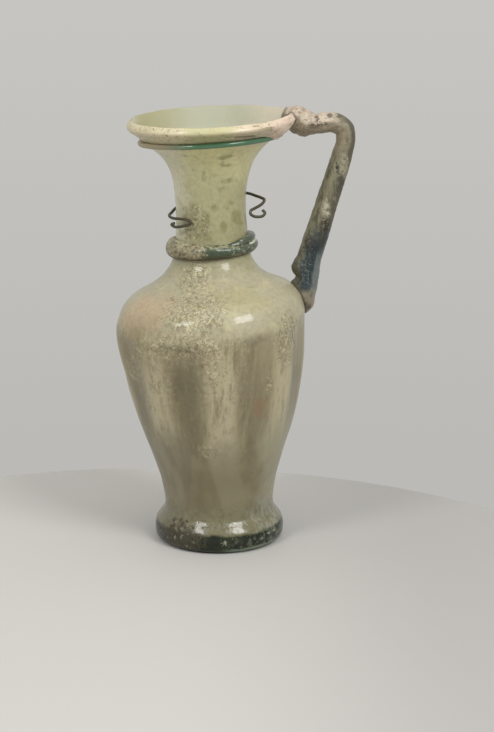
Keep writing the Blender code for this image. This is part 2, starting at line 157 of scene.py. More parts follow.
# Patches on the vessel: degrees round, height, half width and half height in millimetres, strength
PITTED = ((-115.0, 139.5, 7.0, 8.5, 1.0), (-110.0, 118.5, 8.0, 9.0, 1.0), (-100.0, 107.0, 15.0, 8.5, 1.0),
          (-104.0, 96.5, 19.0, 6.0, 1.0), (-88.0, 86.0, 6.0, 8.0, 0.8), (-71.0, 95.0, 5.0, 3.0, 0.6),
          (-36.0, 92.5, 8.0, 11.5, 1.2), (-133.0, 95.0, 10.0, 5.0, 0.8), (-150.0, 82.0, 9.0, 8.0, 0.9),
          (-141.0, 69.0, 6.0, 7.0, 0.6), (-125.0, 77.0, 6.0, 8.0, 0.5), (-93.5, 47.2, 4.5, 4.0, 0.9),
          (-95.0, 12.3, 9.0, 2.0, 0.7), (-52.0, 76.0, 2.0, 5.0, 0.8), (62.0, 100.0, 16.0, 13.0, 0.9),
          (150.0, 88.0, 10.0, 14.0, 0.8), (105.0, 128.0, 9.0, 8.0, 0.8), (28.0, 64.0, 6.0, 10.0, 0.6),
          (100.0, 52.0, 7.0, 7.0, 0.6))
SMUDGED = ((-71.5, 167.0, 4.2, 1.3, 1.0), (-69.0, 163.5, 3.0, 1.2, 0.9), (-98.0, 159.0, 1.2, 2.2, 0.9),
           (-65.0, 156.7, 3.2, 1.4, 0.9), (-71.0, 153.5, 1.8, 2.0, 0.8), (-116.7, 168.8, 2.2, 0.9, 0.8),
           (-44.0, 141.5, 3.2, 3.5, 1.0), (-68.0, 138.0, 1.6, 3.0, 1.0), (-108.0, 138.5, 3.5, 3.0, 0.9),
           (-96.0, 142.5, 2.2, 3.4, 0.9), (-101.0, 134.0, 4.0, 2.5, 1.0), (-83.0, 146.0, 2.0, 2.0, 0.7),
           (40.0, 150.0, 4.0, 3.0, 0.8), (110.0, 160.0, 5.0, 2.5, 0.8), (80.0, 142.0, 3.0, 4.0, 0.9))

# Flakes of crust on the foot: degrees round, height and radius in millimetres. Each runs from just under
# the skin to just over it, and its top is smaller
FLAKES = ((-131.0, 5.6, 1.0), (-84.3, 5.4, 1.0), (-49.0, 5.2, 0.6), (-40.0, 6.2, 0.8), (-31.0, 6.4, 0.9),
          (-124.0, 7.2, 0.6), (35.0, 6.0, 0.9), (70.0, 7.0, 0.7), (118.0, 5.8, 1.0), (160.0, 6.6, 0.8))
FLAKE_UNDER = -0.15 * MM
FLAKE_OVER = 0.16 * MM
FLAKE_TAPER = 0.8

# Dark streaks on the lip: place and spread along the axes, in millimetres
LIP_STREAKS = (((12.0, -32.0, 175.4), (10.0, 8.0, 0.6)), ((14.0, -30.5, 179.6), (4.5, 4.0, 0.6)),
               ((26.5, -22.5, 174.6), (1.5, 4.0, 1.3)))

# Pits and worn places on the handle: X, Z, half width and half height in millimetres, colour, share
HANDLE_MARKS = ((49.7, 160.4, 0.8, 2.6, "#1F1C16", 1.0), (52.6, 160.6, 2.0, 5.0, "#9C947D", 0.8),
                (50.8, 153.6, 1.8, 4.2, "#3A362B", 0.9), (49.0, 145.5, 1.8, 5.0, "#4A4638", 0.8),
                (45.0, 142.0, 1.6, 5.0, "#AEA791", 0.9), (44.8, 136.8, 2.2, 4.0, "#2E2419", 1.0),
                (43.2, 130.6, 1.6, 4.6, "#2B2A24", 0.9), (38.4, 128.8, 2.2, 2.4, "#352C22", 0.9),
                (40.6, 180.4, 1.3, 1.4, "#4A3F33", 0.9), (38.9, 177.4, 2.0, 1.4, "#463B2F", 0.9),
                (42.2, 177.7, 1.2, 1.0, "#463B2F", 0.9), (45.1, 178.1, 1.2, 1.0, "#4A3F33", 0.9),
                (46.3, 181.6, 1.4, 0.9, "#54493C", 0.9), (50.0, 181.4, 1.8, 0.9, "#4A4236", 0.9),
                (37.6, 102.5, 1.8, 1.8, "#4C4838", 0.8))

# Level at which a patch of finish is cut off round its middle
PATCH_MIDDLE = 0.3

# Fineness of the meshes
VESSEL_SIDES = 320
OUTSIDE_STEP = 0.9 * MM
INSIDE_STEP = 3.0 * MM
FOOT_STEPS = 5
LIP_STEPS = 6
FLOOR_STEPS = 8
HANDLE_STEPS = 20
ROD_SIDES = 48
TRAIL_SIDES = 220
STRAND_STEPS = 8
STRAND_SIDES = 24
THREAD_SIDES = 16
WIRE_STEPS = 6
WIRE_SIDES = 16
FLAKE_SIDES = 18
MERGE_DISTANCE = 0.001 * MM

# Stage, in metres and watts, with the camera's dip in degrees and its sensor and lens in millimetres.
# Softboxes: name, degrees round and up, side, power
TABLE_MIDDLE = (-0.03, -0.12)
TABLE_RADIUS = 0.217
TABLE_DEPTH = 0.02
LIGHT_TARGET_HEIGHT = 0.09
LIGHT_DISTANCE = 1.2
SOFTBOXES = (("right_softbox", 41.0, 39.0, 0.42, 8.0), ("left_softbox", -41.0, 40.0, 0.30, 4.6),
             ("top_softbox", 10.0, 82.0, 0.9, 3.0))
CAMERA_PLACE = (0.0121, -0.62548, 0.22311)
CAMERA_DIP = 13.279
SENSOR_HEIGHT = 36.0
LENS = 73.77


def linear(hex_colour):
    """The linear colour of an sRGB hex value."""
    channels = [int(hex_colour[i:i + 2], 16) / 255.0 for i in (1, 3, 5)]
    return tuple(c / 12.92 if c <= 0.04045 else ((c + 0.055) / 1.055) ** 2.4 for c in channels)


def size_setting(label, millimetres, text):
    """A length that a user may change."""
    return bpy.props.FloatProperty(name=label, description=text, default=millimetres * MM, min=0.0,
                                   unit="LENGTH", precision=5)


def colour_setting(label, hex_colour, text):
    """A colour that a user may change."""
    return bpy.props.FloatVectorProperty(name=label, description=text, default=linear(hex_colour), size=3,
                                         min=0.0, max=1.0, subtype="COLOR")


class JugSizes(bpy.types.PropertyGroup):
    """Sizes of the jug."""
    foot_radius: size_setting("Foot Radius", 28.0, "Widest part of the foot")
    waist_radius: size_setting("Waist Radius", 23.5, "Narrowest part above the foot")
    shoulder_radius: size_setting("Shoulder Radius", 39.9, "Widest part of the body")
    neck_radius: size_setting("Neck Radius", 14.6, "Narrowest part of the neck")
    lip_radius: size_setting("Lip Radius", 34.6, "Edge of the mouth")
    rim_height: size_setting("Rim Height", 181.6, "Height of the lip")
    wall: size_setting("Wall", 1.9, "Thickness of the blown wall")
    flute_depth: size_setting("Flute Depth", 1.8, "How deep the flutes are pressed into the body")
    handle_thickness: size_setting("Handle Thickness", 8.6, "Thickness of the drawn handle")
    handle_width: size_setting("Handle Width", 9.4, "Width of the drawn handle")
    trail_band: size_setting("Trail Band", 6.6, "Height of the coil round the neck")
    thread_thickness: size_setting("Thread Thickness", 2.1, "Thickness of the thread under the lip")
    wire_thickness: size_setting("Wire Thickness", 1.2, "Thickness of the bronze wire")
    relief: size_setting("Relief", 0.28, "Height of the broad unevenness of the hand-worked glass")
    crust_relief: size_setting("Crust Relief", 0.22, "Height of the pitted crust")


class JugColours(bpy.types.PropertyGroup):
    """Colours of the jug's glass, crusts and metal."""
    glass: colour_setting("Pale Glass", "#ABA781", "Pale green glass where the crust is thin")
    crust: colour_setting("Cream Crust", "#ACA58A", "Weathering crust on the shoulder")
    brown: colour_setting("Brown Crust", "#7B7156", "Olive-brown crust on the lower body")
    inside: colour_setting("Inside", "#A8A993", "Inside of the mouth")
    clear: colour_setting("Clear Glass", "#141D0B", "Clean dark green glass round the foot")
    pink: colour_setting("Pink Crust", "#DAC6B1", "Pinkish crust on the lip and the fold of the handle")
    handle: colour_setting("Handle Crust", "#706D55", "Grey-olive crust on the handle")
    teal: colour_setting("Teal Glass", "#1A272A", "Clean blue-green glass low on the handle")
    trail: colour_setting("Trail Glass", "#404C37", "Dark green glass of the coil")
    thread: colour_setting("Thread Glass", "#54805F", "Sea-green glass of the rim thread")
    bronze: colour_setting("Bronze", "#4A4637", "Dark patina of the wire")


def blend(low, high, share):
    """The value a share of the way from low to high."""
    return low + (high - low) * share


def eased(share):
    """A share of 0 to 1 that starts and ends level."""
    share = min(1.0, max(0.0, share))
    return share * share * (3.0 - 2.0 * share)


def bump_at(value, centre, spread):
    """A smooth bump of height 1 at the centre, which fades over the spread."""
    return math.exp(-((value - centre) / spread) ** 2)


def from_table(table, height):
    """Eased value of a table of (height, value), level before its first and after its last row."""
    value = table[0][1]
    for (low, start), (high, end) in zip(table, table[1:]):
        if height > low:
            value = blend(start, end, eased((height - low) / (high - low)))
    return value


def smooth_line(points, steps):
    """A smooth curve through the points, with a number of steps from each to the next."""
    reach = [(b - a).length for a, b in zip(points, points[1:])]
    pace = [(b - a) / length for a, b, length in zip(points, points[1:], reach)]
    tangents = [pace[0]]
    for i in range(1, len(pace)):
        tangents.append((pace[i - 1] * reach[i] + pace[i] * reach[i - 1]) / (reach[i - 1] + reach[i]))
    tangents.append(pace[-1])
    line = []
    for i, length in enumerate(reach):
        for step in range(steps):
            t = step / steps
            pull = length * t * (1.0 - t)
            bow = tangents[i] * (1.0 - t) - tangents[i + 1] * t
            line.append(points[i].lerp(points[i + 1], eased(t)) + bow * pull)
    line.append(points[-1])
    return line


def moved_out(line, distance):
    """A line of (radius, height) that runs upwards, moved outwards by a distance."""
    moved = []
    for i, point in enumerate(line):
        along = line[min(i + 1, len(line) - 1)] - line[max(i - 1, 0)]
        moved.append(point + Vector((along.y, -along.x)).normalized() * distance)
    return moved


class Outline:
    """The vessel's outline, flutes and sag, worked out from the sizes."""

    def __init__(self, sizes):
        self.sizes = sizes
        self.seat_height = sizes.rim_height - SEAT_DROP
        self.rings = self.wall_rings()
        self.slopes = self.ring_slopes()

    def wall_rings(self):
        """(height, radius) of the rings that the outside passes through, from foot to thread seat."""
        rings = [(FOOT_BULGE_HEIGHT, self.sizes.foot_radius)]
        spans = ((WAIST_HEIGHT, self.sizes.waist_radius, FOOT_CURVE),
                 (SHOULDER_HEIGHT, self.sizes.shoulder_radius, BODY_CURVE),
                 (NECK_ROOT_HEIGHT, NECK_ROOT_RADIUS, SHOULDER_CURVE),
                 (NECK_HEIGHT, self.sizes.neck_radius, NECK_CURVE),
                 (self.seat_height, SEAT_RADIUS, MOUTH_CURVE))
        for height, radius, curve in spans:
            low, start = rings[-1]
            for rise, change in curve:
                rings.append((blend(low, height, rise), blend(start, radius, change)))
            rings.append((height, radius))
        return rings

    def ring_slopes(self):
        """Slope of the outside at each ring, level where it is widest or narrowest."""
        steps = [(r_1 - r_0) / (h_1 - h_0) for (h_0, r_0), (h_1, r_1) in zip(self.rings, self.rings[1:])]
        slopes = [0.0]
        for before, after in zip(steps, steps[1:]):
            turns = before * after <= 0.0
            slopes.append(0.0 if turns else 2.0 * before * after / (before + after))
        slopes.append(steps[-1])
        return slopes

    def radius(self, height):
        """Outer radius at a height between the foot's bulge and the thread seat."""
        height = min(self.seat_height, max(FOOT_BULGE_HEIGHT, height))
        index = max(i for i, (ring, _) in enumerate(self.rings[:-1]) if ring <= height)
        (low, start), (high, end) = self.rings[index:index + 2]
        span = high - low
        t = (height - low) / span
        pull = span * t * (1.0 - t)
        return (blend(start, end, eased(t))
                + pull * (self.slopes[index] * (1.0 - t) - self.slopes[index + 1] * t))

    def wall(self, step):
        """The wall's outside from the foot's bulge to the thread seat, in rows a step apart."""
        count = round((self.seat_height - FOOT_BULGE_HEIGHT) / step)
        heights = [blend(FOOT_BULGE_HEIGHT, self.seat_height, i / count) for i in range(count + 1)]
        return [Vector((self.radius(height), height)) for height in heights]

    def foot(self, steps):
        """Rounded edge of the foot, from its flat underside up to its bulge."""
        line = [Vector((FOOT_FLAT_RADIUS, 0.0))]
        for rise, change in FOOT_CORNER:
            radius = blend(FOOT_FLAT_RADIUS, self.sizes.foot_radius, change)
            line.append(Vector((radius, FOOT_BULGE_HEIGHT * rise)))
        line.append(Vector((self.sizes.foot_radius, FOOT_BULGE_HEIGHT)))
        return smooth_line(line, steps)

    def lip(self, seat, inner_seat, steps):
        """The folded lip, from the thread seat round its edge to the inside of the mouth."""
        rim = self.sizes.rim_height
        edge_radius = self.sizes.lip_radius
        under = Vector((blend(SEAT_RADIUS, edge_radius, 0.45), rim - LIP_BAND * 0.80))
        edge = Vector((edge_radius, rim - LIP_BAND * 0.34))
        top = Vector((edge_radius - LIP_DEPTH * LIP_TOP, rim))
        inner_edge = Vector((edge_radius - LIP_DEPTH, rim - LIP_BAND * 0.30))
        return smooth_line([seat, under, edge, top, inner_edge, inner_seat], steps)

    def flute(self, angle, height, end=FLUTE_BOTTOM):
        """Share of its full depth that a flute has at an angle in radians and a height, where it runs
        out at its end below."""
        top = eased((FLUTE_TOP - height) / FLUTE_TOP_RAMP)
        bottom = eased((height - end) / (FLUTE_FULL - end))
        wave = 0.5 + 0.5 * math.cos(FLUTE_COUNT * (angle - math.radians(FLUTE_FIRST_ANGLE)))
        return top * bottom * wave

    def settled(self, radius, angle, height):
        """Place of a point given round the vessel's axis, after its flutes, lean and tilt."""
        rim = self.sizes.rim_height
        share = height / rim
        inset = self.sizes.flute_depth * self.flute(angle, height)
        reach = radius - inset * min(1.0, radius / self.sizes.waist_radius)
        x = reach * math.cos(angle)
        y = reach * math.sin(angle)
        rise = (x * math.tan(math.radians(from_table(TILT_X, share)))
                + y * math.tan(math.radians(from_table(TILT_Y, share))))
        return Vector((x + from_table(LEAN_X, share) * rim, y + from_table(LEAN_Y, share) * rim,
                       height + rise))

    def covered(self, table, angle, height):
        """Share that a table of patches covers at an angle in radians and a height."""
        most = 0.0
        around = self.radius(height)
        for degrees, level, wide, high, strength in table:
            off = math.remainder(angle - math.radians(degrees), 2.0 * math.pi)
            reach = math.hypot(off * around / (wide * MM), (height - level * MM) / (high * MM))
            most = max(most, strength * eased(1.6 - 1.1 * reach))
        return most

    def on_skin(self, degrees, height, off=0.0):
        """Place on the outer skin at an angle in degrees and a height, or a distance off it."""
        return self.settled(self.radius(height) + off, math.radians(degrees), height)


def finished(name, bm, material, slot, *nodes):
    """An object from a bmesh, riding on the frame and standing for its CAD nodes."""
    bmesh.ops.remove_doubles(bm, verts=bm.verts, dist=MERGE_DISTANCE)
    bmesh.ops.recalc_face_normals(bm, faces=bm.faces)
    mesh = bpy.data.meshes.new(name)
    bm.to_mesh(mesh)
    bm.free()
    mesh.shade_smooth()
    mesh.materials.append(material)
    obj = bpy.data.objects.new(name, mesh)
    bpy.context.scene.collection.objects.link(obj)
    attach(obj, "root")
    if nodes:
        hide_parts(*nodes)
    return obj


def spun(bm, line, sides, closed=False, inside_from=None):
    """Turns a line of (radius, height) about the axis. Points from inside_from on are marked as inside."""
    inside = bm.verts.layers.float.get("inside") or bm.verts.layers.float.new("inside")
    verts = []
    for i, point in enumerate(line):
        vert = bm.verts.new((point.x, 0.0, point.y))
        vert[inside] = 0.0 if inside_from is None or i < inside_from else 1.0
        verts.append(vert)
    pairs = list(zip(verts, verts[1:]))
    if closed:
        pairs.append((verts[-1], verts[0]))
    edges = [bm.edges.new(pair) for pair in pairs]
    bmesh.ops.spin(bm, geom=verts + edges, cent=(0.0, 0.0, 0.0), axis=(0.0, 0.0, 1.0),
                   dvec=(0.0, 0.0, 0.0), angle=2.0 * math.pi, steps=sides, use_merge=True,
                   use_duplicate=False)
    bmesh.ops.remove_doubles(bm, verts=bm.verts, dist=MERGE_DISTANCE)


def rod(bm, rings, sides):
    """A closed rod through rings of (centre, side axis, up axis), both axes half the section."""
    frames = []
    for centre, side, up in rings:
        face = Matrix((side, up, side.cross(up).normalized())).transposed().to_4x4()
        face.translation = centre
        frames.append(face)
    start = bmesh.ops.create_circle(bm, cap_ends=False, segments=sides, radius=1.0, matrix=frames[0])
    edges = list({edge for vert in start["verts"] for edge in vert.link_edges})
    bmesh.ops.edgeloop_fill(bm, edges=edges)
    for before, after in zip(frames, frames[1:]):
        grown = bmesh.ops.extrude_edge_only(bm, edges=edges)["geom"]
        verts = [item for item in grown if isinstance(item, bmesh.types.BMVert)]
        edges = [item for item in grown if isinstance(item, bmesh.types.BMEdge)]
        edges = [edge for edge in edges if all(vert in verts for vert in edge.verts)]
        bmesh.ops.transform(bm, matrix=after @ before.inverted(), verts=verts)
    bmesh.ops.edgeloop_fill(bm, edges=edges)


def round_rings(places, halves):
    """Rings of a round rod along places, with half thicknesses, kept upright as it turns."""
    rings = []
    side = None
    for i, (centre, half) in enumerate(zip(places, halves)):
        along = (places[min(i + 1, len(places) - 1)] - places[max(i - 1, 0)]).normalized()
        start = side if side else along.cross(Vector((0.0, 0.0, 1.0)))
        side = (start - along * start.dot(along)).normalized()
        rings.append((centre, side * half, along.cross(side) * half))
    return rings


def unevenness(place, broad, fine):
    """Soft unevenness of hand-worked glass at a place, in shares of about -1 to 1."""
    return 0.7 * noise.noise(place / broad) + 0.3 * noise.noise(place / fine + Vector((7.0, 3.0, 5.0)))


# Materials


def grain(millimetres):
    """Texture scale of a pattern with features of that size."""
    return 1.0 / (millimetres * MM)


def add(tree, kind, values, **settings):
    """Adds a node. Values are plain or linked by socket, settings are the node's own."""
    node = tree.nodes.new(kind)
    for name, value in settings.items():
        setattr(node, name, value)
    for socket, value in values.items():
        if isinstance(value, bpy.types.NodeSocket):
            tree.links.new(value, node.inputs[socket])
        else:
            node.inputs[socket].default_value = value
    return node


class Finish:
    """A material in the making: its tree, its shader, its coordinates and what is laid so far. Lengths
    are in millimetres. A share runs from 0 to 1. Where parts are named, their product counts: a part is
    a share, a plain number, or a value with the low and the high between which it rises from 0 to 1."""

    def __init__(self, name, colour, roughness, **plain):
        self.material = bpy.data.materials.new(name)
        self.material.use_nodes = True
        self.tree = self.material.node_tree
        self.shader = self.tree.nodes["Principled BSDF"]
        for socket, value in plain.items():
            self.shader.inputs[socket.replace("_", " ")].default_value = value
        self.where = add(self.tree, "ShaderNodeTexCoord", {}).outputs["Object"]
        place = add(self.tree, "ShaderNodeVectorMath", {0: self.where, "Scale": 1.0 / MM}, operation="SCALE")
        self.x, self.y, self.z = add(self.tree, "ShaderNodeSeparateXYZ", {0: place.outputs[0]}).outputs
        self.wobble = self.pattern(5.0, 3.0)
        base = add(self.tree, "ShaderNodeRGB", {})
        base.outputs[0].default_value = (*colour, 1.0)
        self.colour = base.outputs[0]
        self.roughness = roughness
        self.height = None

    def pattern(self, size, detail, stretch=(1.0, 1.0, 1.0), distortion=0.0, turn=0.0):
        """Noise with features of a size, stretched along the axes."""
        spread = tuple(1.0 / share for share in stretch)
        placed = add(self.tree, "ShaderNodeMapping",
                     {"Vector": self.where, "Rotation": (0.0, turn, 0.0), "Scale": spread})
        made = add(self.tree, "ShaderNodeTexNoise",
                   {"Vector": placed.outputs[0], "Scale": grain(size), "Detail": detail,
                    "Roughness": 0.6, "Distortion": distortion})
        return made.outputs[0]

    def attribute(self, name):
        """Value of a mesh attribute."""
        return add(self.tree, "ShaderNodeAttribute", {}, attribute_name=name).outputs["Fac"]

    def between(self, value, low, high):
        """Share from 0 where a value is low or less to 1 where it is high or more."""
        made = add(self.tree, "ShaderNodeMapRange",
                   {"Value": value, "From Min": low, "From Max": high}, interpolation_type="SMOOTHSTEP")
        return made.outputs[0]

    def share(self, *parts):
        """Product of the parts."""
        product = None
        for part in parts:
            if isinstance(part, tuple):
                part = self.between(*part)
            if product is not None:
                both = add(self.tree, "ShaderNodeMath", {0: product, 1: part}, operation="MULTIPLY")
                part = both.outputs[0]
            product = part
        return product

    def less(self, share, weight=1.0):
        """What is left of 1 after a weighted share."""
        return add(self.tree, "ShaderNodeMath", {0: share, 1: -weight, 2: 1.0},
                   operation="MULTIPLY_ADD").outputs[0]

    def ragged(self, value, amount, noise_value=None):
        """A value with a noise added, the wobble unless another, so that its edges run unevenly."""
        shifted = add(self.tree, "ShaderNodeMath", {0: noise_value or self.wobble, 1: 0.5},
                      operation="SUBTRACT")
        return add(self.tree, "ShaderNodeMath", {0: shifted.outputs[0], 1: amount, 2: value},
                   operation="MULTIPLY_ADD").outputs[0]

    def patch(self, place, spread, edge=0.35, amount=0.9, noise_value=None):
        """Share of a ragged patch round a place given in metres, spread in millimetres along the axes."""
        placed = add(self.tree, "ShaderNodeMapping",
                     {"Vector": self.where, "Location": place, "Scale": tuple(s * MM for s in spread)},
                     vector_type="TEXTURE")
        near = add(self.tree, "ShaderNodeTexGradient", {0: placed.outputs[0]}, gradient_type="SPHERICAL")
        torn = self.ragged(near.outputs["Fac"], amount, noise_value)
        return self.between(torn, PATCH_MIDDLE - edge / 2.0, PATCH_MIDDLE + edge / 2.0)

    def crease(self, value, width):
        """Share of the thin winding lines along which a noise passes through its middle."""
        shifted = add(self.tree, "ShaderNodeMath", {0: value, 1: 0.5}, operation="SUBTRACT")
        off = add(self.tree, "ShaderNodeMath", {0: shifted.outputs[0]}, operation="ABSOLUTE")
        return self.between(off.outputs[0], width, width * 0.2)

    def lay(self, colour, *parts, rough=None):
        """Lays a colour, or a hex value, over the finish where the parts say, with its own roughness."""
        share = self.share(*parts)
        tone = linear(colour) if isinstance(colour, str) else colour
        laid = add(self.tree, "ShaderNodeMix", {0: share, 6: self.colour, 7: (*tone, 1.0)}, data_type="RGBA")
        self.colour = laid.outputs[2]
        if rough is not None:
            duller = add(self.tree, "ShaderNodeMix", {0: share, 2: self.roughness, 3: rough})
            self.roughness = duller.outputs[0]

    def shade(self, gain, *parts):
        """Multiplies the colour by a gain where the parts say."""
        laid = add(self.tree, "ShaderNodeMix",
                   {0: self.share(*parts), 6: self.colour, 7: (gain, gain, gain, 1.0)},
                   data_type="RGBA", blend_type="MULTIPLY")
        self.colour = laid.outputs[2]

    def raise_by(self, millimetres, *parts):
        """Adds relief to the bump, as high as that where the parts come to 1."""
        laid = add(self.tree, "ShaderNodeMath",
                   {0: self.share(*parts), 1: millimetres * MM, 2: self.height or 0.0},
                   operation="MULTIPLY_ADD")
        self.height = laid.outputs[0]

    def done(self):
        """Links the colour, roughness and relief to the shader and returns the material."""
        sockets = self.shader.inputs
        self.tree.links.new(self.colour, sockets["Base Color"])
        if isinstance(self.roughness, bpy.types.NodeSocket):
            self.tree.links.new(self.roughness, sockets["Roughness"])
        else:
            sockets["Roughness"].default_value = self.roughness
        if self.height:
            bump = add(self.tree, "ShaderNodeBump", {"Height": self.height, "Strength": 1.0, "Distance": 1.0})
            self.tree.links.new(bump.outputs[0], sockets["Normal"])
        return self.material


class VesselGlass(Finish):
    """Blown soda-lime glass, buried for ages: a thin cream to olive-brown crust, pitted, satin to the
    eye, over pale green glass that shows clean and dark round the foot."""

    def __init__(self, colours, outline):
        super().__init__("weathered_blown_glass", colours.glass, 0.40, IOR=1.5, Transmission_Weight=0.12,
                         Subsurface_Weight=0.10, Subsurface_Scale=3.0 * MM, Specular_IOR_Level=0.25,
                         Coat_Weight=0.32, Coat_Roughness=0.05)
        self.colours = colours
        self.outline = outline
        self.up = self.ragged(self.z, 10.0)
        self.across = self.ragged(self.x, 10.0)
        self.mottle = self.pattern(7.0, 5.0)
        self.fine_mottle = self.pattern(3.0, 4.0)
        self.specks = self.pattern(1.7, 4.0)
        self.streaks = self.pattern(4.5, 4.0, stretch=(1.0, 1.0, 10.0))
        self.fine_streaks = self.pattern(1.5, 4.0, stretch=(1.0, 1.0, 12.0))

    def spot(self, degrees, height, spread, edge=0.35, amount=0.9, noise_value=None):
        """Share of a ragged patch on the skin, round a place given in degrees and a height."""
        return self.patch(self.outline.on_skin(degrees, height * MM), spread, edge, amount, noise_value)

    def lay_neck_and_shoulder(self):
        """Pale green glass on the neck, lightened as painted light under the lip and along its left side, and
        a cream crust on the shoulder, pinkish at its left, with a patch of painted shade that dulls a
        highlight by the coil.
        """
        up, mottle = self.up, self.mottle
        neck = (up, 128.0, 134.0)
        self.lay("#8F8B60", neck, (mottle, 0.47, 0.30))
        # Painted light: the neck is lightened just under the lip, where the lip's shadow falls
        self.lay("#E0DBA8", (up, 150.0, 168.0))
        self.shade(0.86, (up, 146.0, 134.0), (mottle, 0.36, 0.52))
        # Painted light: the neck's left side is lightened, like light coming through the glass at its rim
        self.lay("#D8D5BC", neck, (self.across, -8.0, -17.0), 0.7)
        self.lay(self.colours.crust, (up, 130.0, 114.0))
        self.lay("#B8A283", self.spot(-142.0, 106.0, (24.0, 20.0, 15.0)), 0.8)
        self.lay("#B5AE8C", (up, 126.0, 116.0), (mottle, 0.50, 0.66))
        # Painted shade: a patch darkened to dull a highlight near the coil's foot
        self.lay("#9A9376", self.spot(-76.0, 121.0, (9.0, 9.0, 5.0)), 0.5)
        self.shade(0.88, self.spot(-128.0, 101.0, (20.0, 16.0, 11.0), 0.7))
        self.lay("#A9A478", self.spot(-62.0, 110.0, (15.0, 12.0, 8.0), 0.6), 0.45)

    def lay_fluted_body(self):
        """Olive-brown crust, streaked and darker downwards. The flutes are darker by crust and painted shade,
        the ribs paler by worn crust and painted light.
        """
        up, across, specks = self.up, self.across, self.specks
        hollow = self.attribute("hollow")
        body = self.between(up, 101.0, 90.0)
        self.lay("#978D70", body)
        self.lay(self.colours.brown, (up, 76.0, 34.0))
        # Worn crust and painted light: the ribs between the flutes are lightened
        self.lay("#BEB496", (up, 31.0, 60.0), (hollow, 0.55, 0.05), (up, 102.0, 76.0), 0.84)
        streaked = self.share((up, 32.0, 64.0), body, 0.6)
        self.lay("#A79E81", streaked, (self.streaks, 0.52, 0.72))
        self.lay("#6B6046", streaked, (self.streaks, 0.46, 0.30))
        broad_streaks = self.pattern(9.0, 1.5, stretch=(1.0, 1.0, 5.0))
        low = self.share((up, 62.0, 44.0), (up, 12.0, 20.0))
        self.lay("#898169", low, (across, -8.0, -17.0))
        self.lay("#958E74", low, (broad_streaks, 0.50, 0.62), 0.45)
        self.lay("#645A40", low, (broad_streaks, 0.49, 0.38), 0.30)
        combed = self.share((up, 36.0, 60.0), body)
        self.lay("#B0A687", combed, (self.fine_streaks, 0.53, 0.70), 0.6)
        self.lay("#756C50", combed, (self.fine_streaks, 0.47, 0.32), 0.55)
        crumbs = self.share((up, 52.0, 76.0), body, (across, 24.0, 4.0))
        self.lay("#BFB596", crumbs, (specks, 0.54, 0.66), 0.45)
        self.lay("#6B6349", crumbs, (specks, 0.45, 0.34), 0.40)
        # Painted shade: the flutes and their tops are darkened beside their darker crust, less at the right
        # where the lighting already shades them
        flute_shade_weight = self.less(self.between(across, 0.0, 14.0), 0.42)
        self.lay("#696147", (up, 100.0, 78.0), (hollow, 0.25, 1.0), flute_shade_weight, 0.76)
        self.lay("#665E44", (up, 98.0, 110.0), (hollow, 0.25, 0.8), 0.35)
        self.lay("#A09D83", (up, 66.0, 48.0), (across, 12.0, 24.0), 0.7)
        # Painted shade: the body's left edge is darkened to a warm brown, which damps the coat's grey
        # reflection there
        self.lay("#8B7C58", (up, 60.0, 80.0), body, (across, -24.0, -36.0), 0.6)
        self.lay("#94644C", self.spot(-58.5, 65.8, (3.5, 6.0, 7.0)), 0.30)
        self.lay("#6A6C4E", self.spot(-21.6, 74.7, (4.5, 8.0, 6.0)), 0.5)

    def lay_crust(self):
        """Specks above the body, smudges on the neck, and the pitted crust: flakes, pits, and furrows that
        are darkened as painted shade.
        """
        fine_mottle, specks = self.fine_mottle, self.specks
        upper = self.between(self.up, 88.0, 100.0)
        self.shade(0.88, upper, (specks, 0.50, 0.34))
        self.shade(1.10, upper, (specks, 0.52, 0.68))
        smudge = self.ragged(self.attribute("smudge"), 2.4, fine_mottle)
        self.lay("#77733F", (smudge, 0.35, 1.30), 0.62, rough=0.5)
        crust = self.share((self.ragged(self.attribute("pitted"), 2.4, fine_mottle), 0.25, 1.15))
        self.lay("#C4B996", crust, (fine_mottle, 0.36, 0.60), 0.42, rough=0.6)
        self.lay("#8F8963", crust, (self.up, 128.0, 134.0), 0.45, rough=0.6)
        worms = self.pattern(2.1, 3.0, distortion=1.3)
        self.lay("#C8C09E", crust, (worms, 0.53, 0.66), 0.52, rough=0.6)
        # Painted shade: the winding furrows of the crust are darkened where its relief would shade them
        furrow = self.share(crust, self.crease(worms, 0.05))
        self.lay("#5E573A", furrow, 0.60, rough=0.55)
        self.lay("#6C6547", crust, (specks, 0.44, 0.34), 0.52, rough=0.55)
        self.raise_by(0.18, crust, specks)
        self.raise_by(0.08, self.less(furrow))

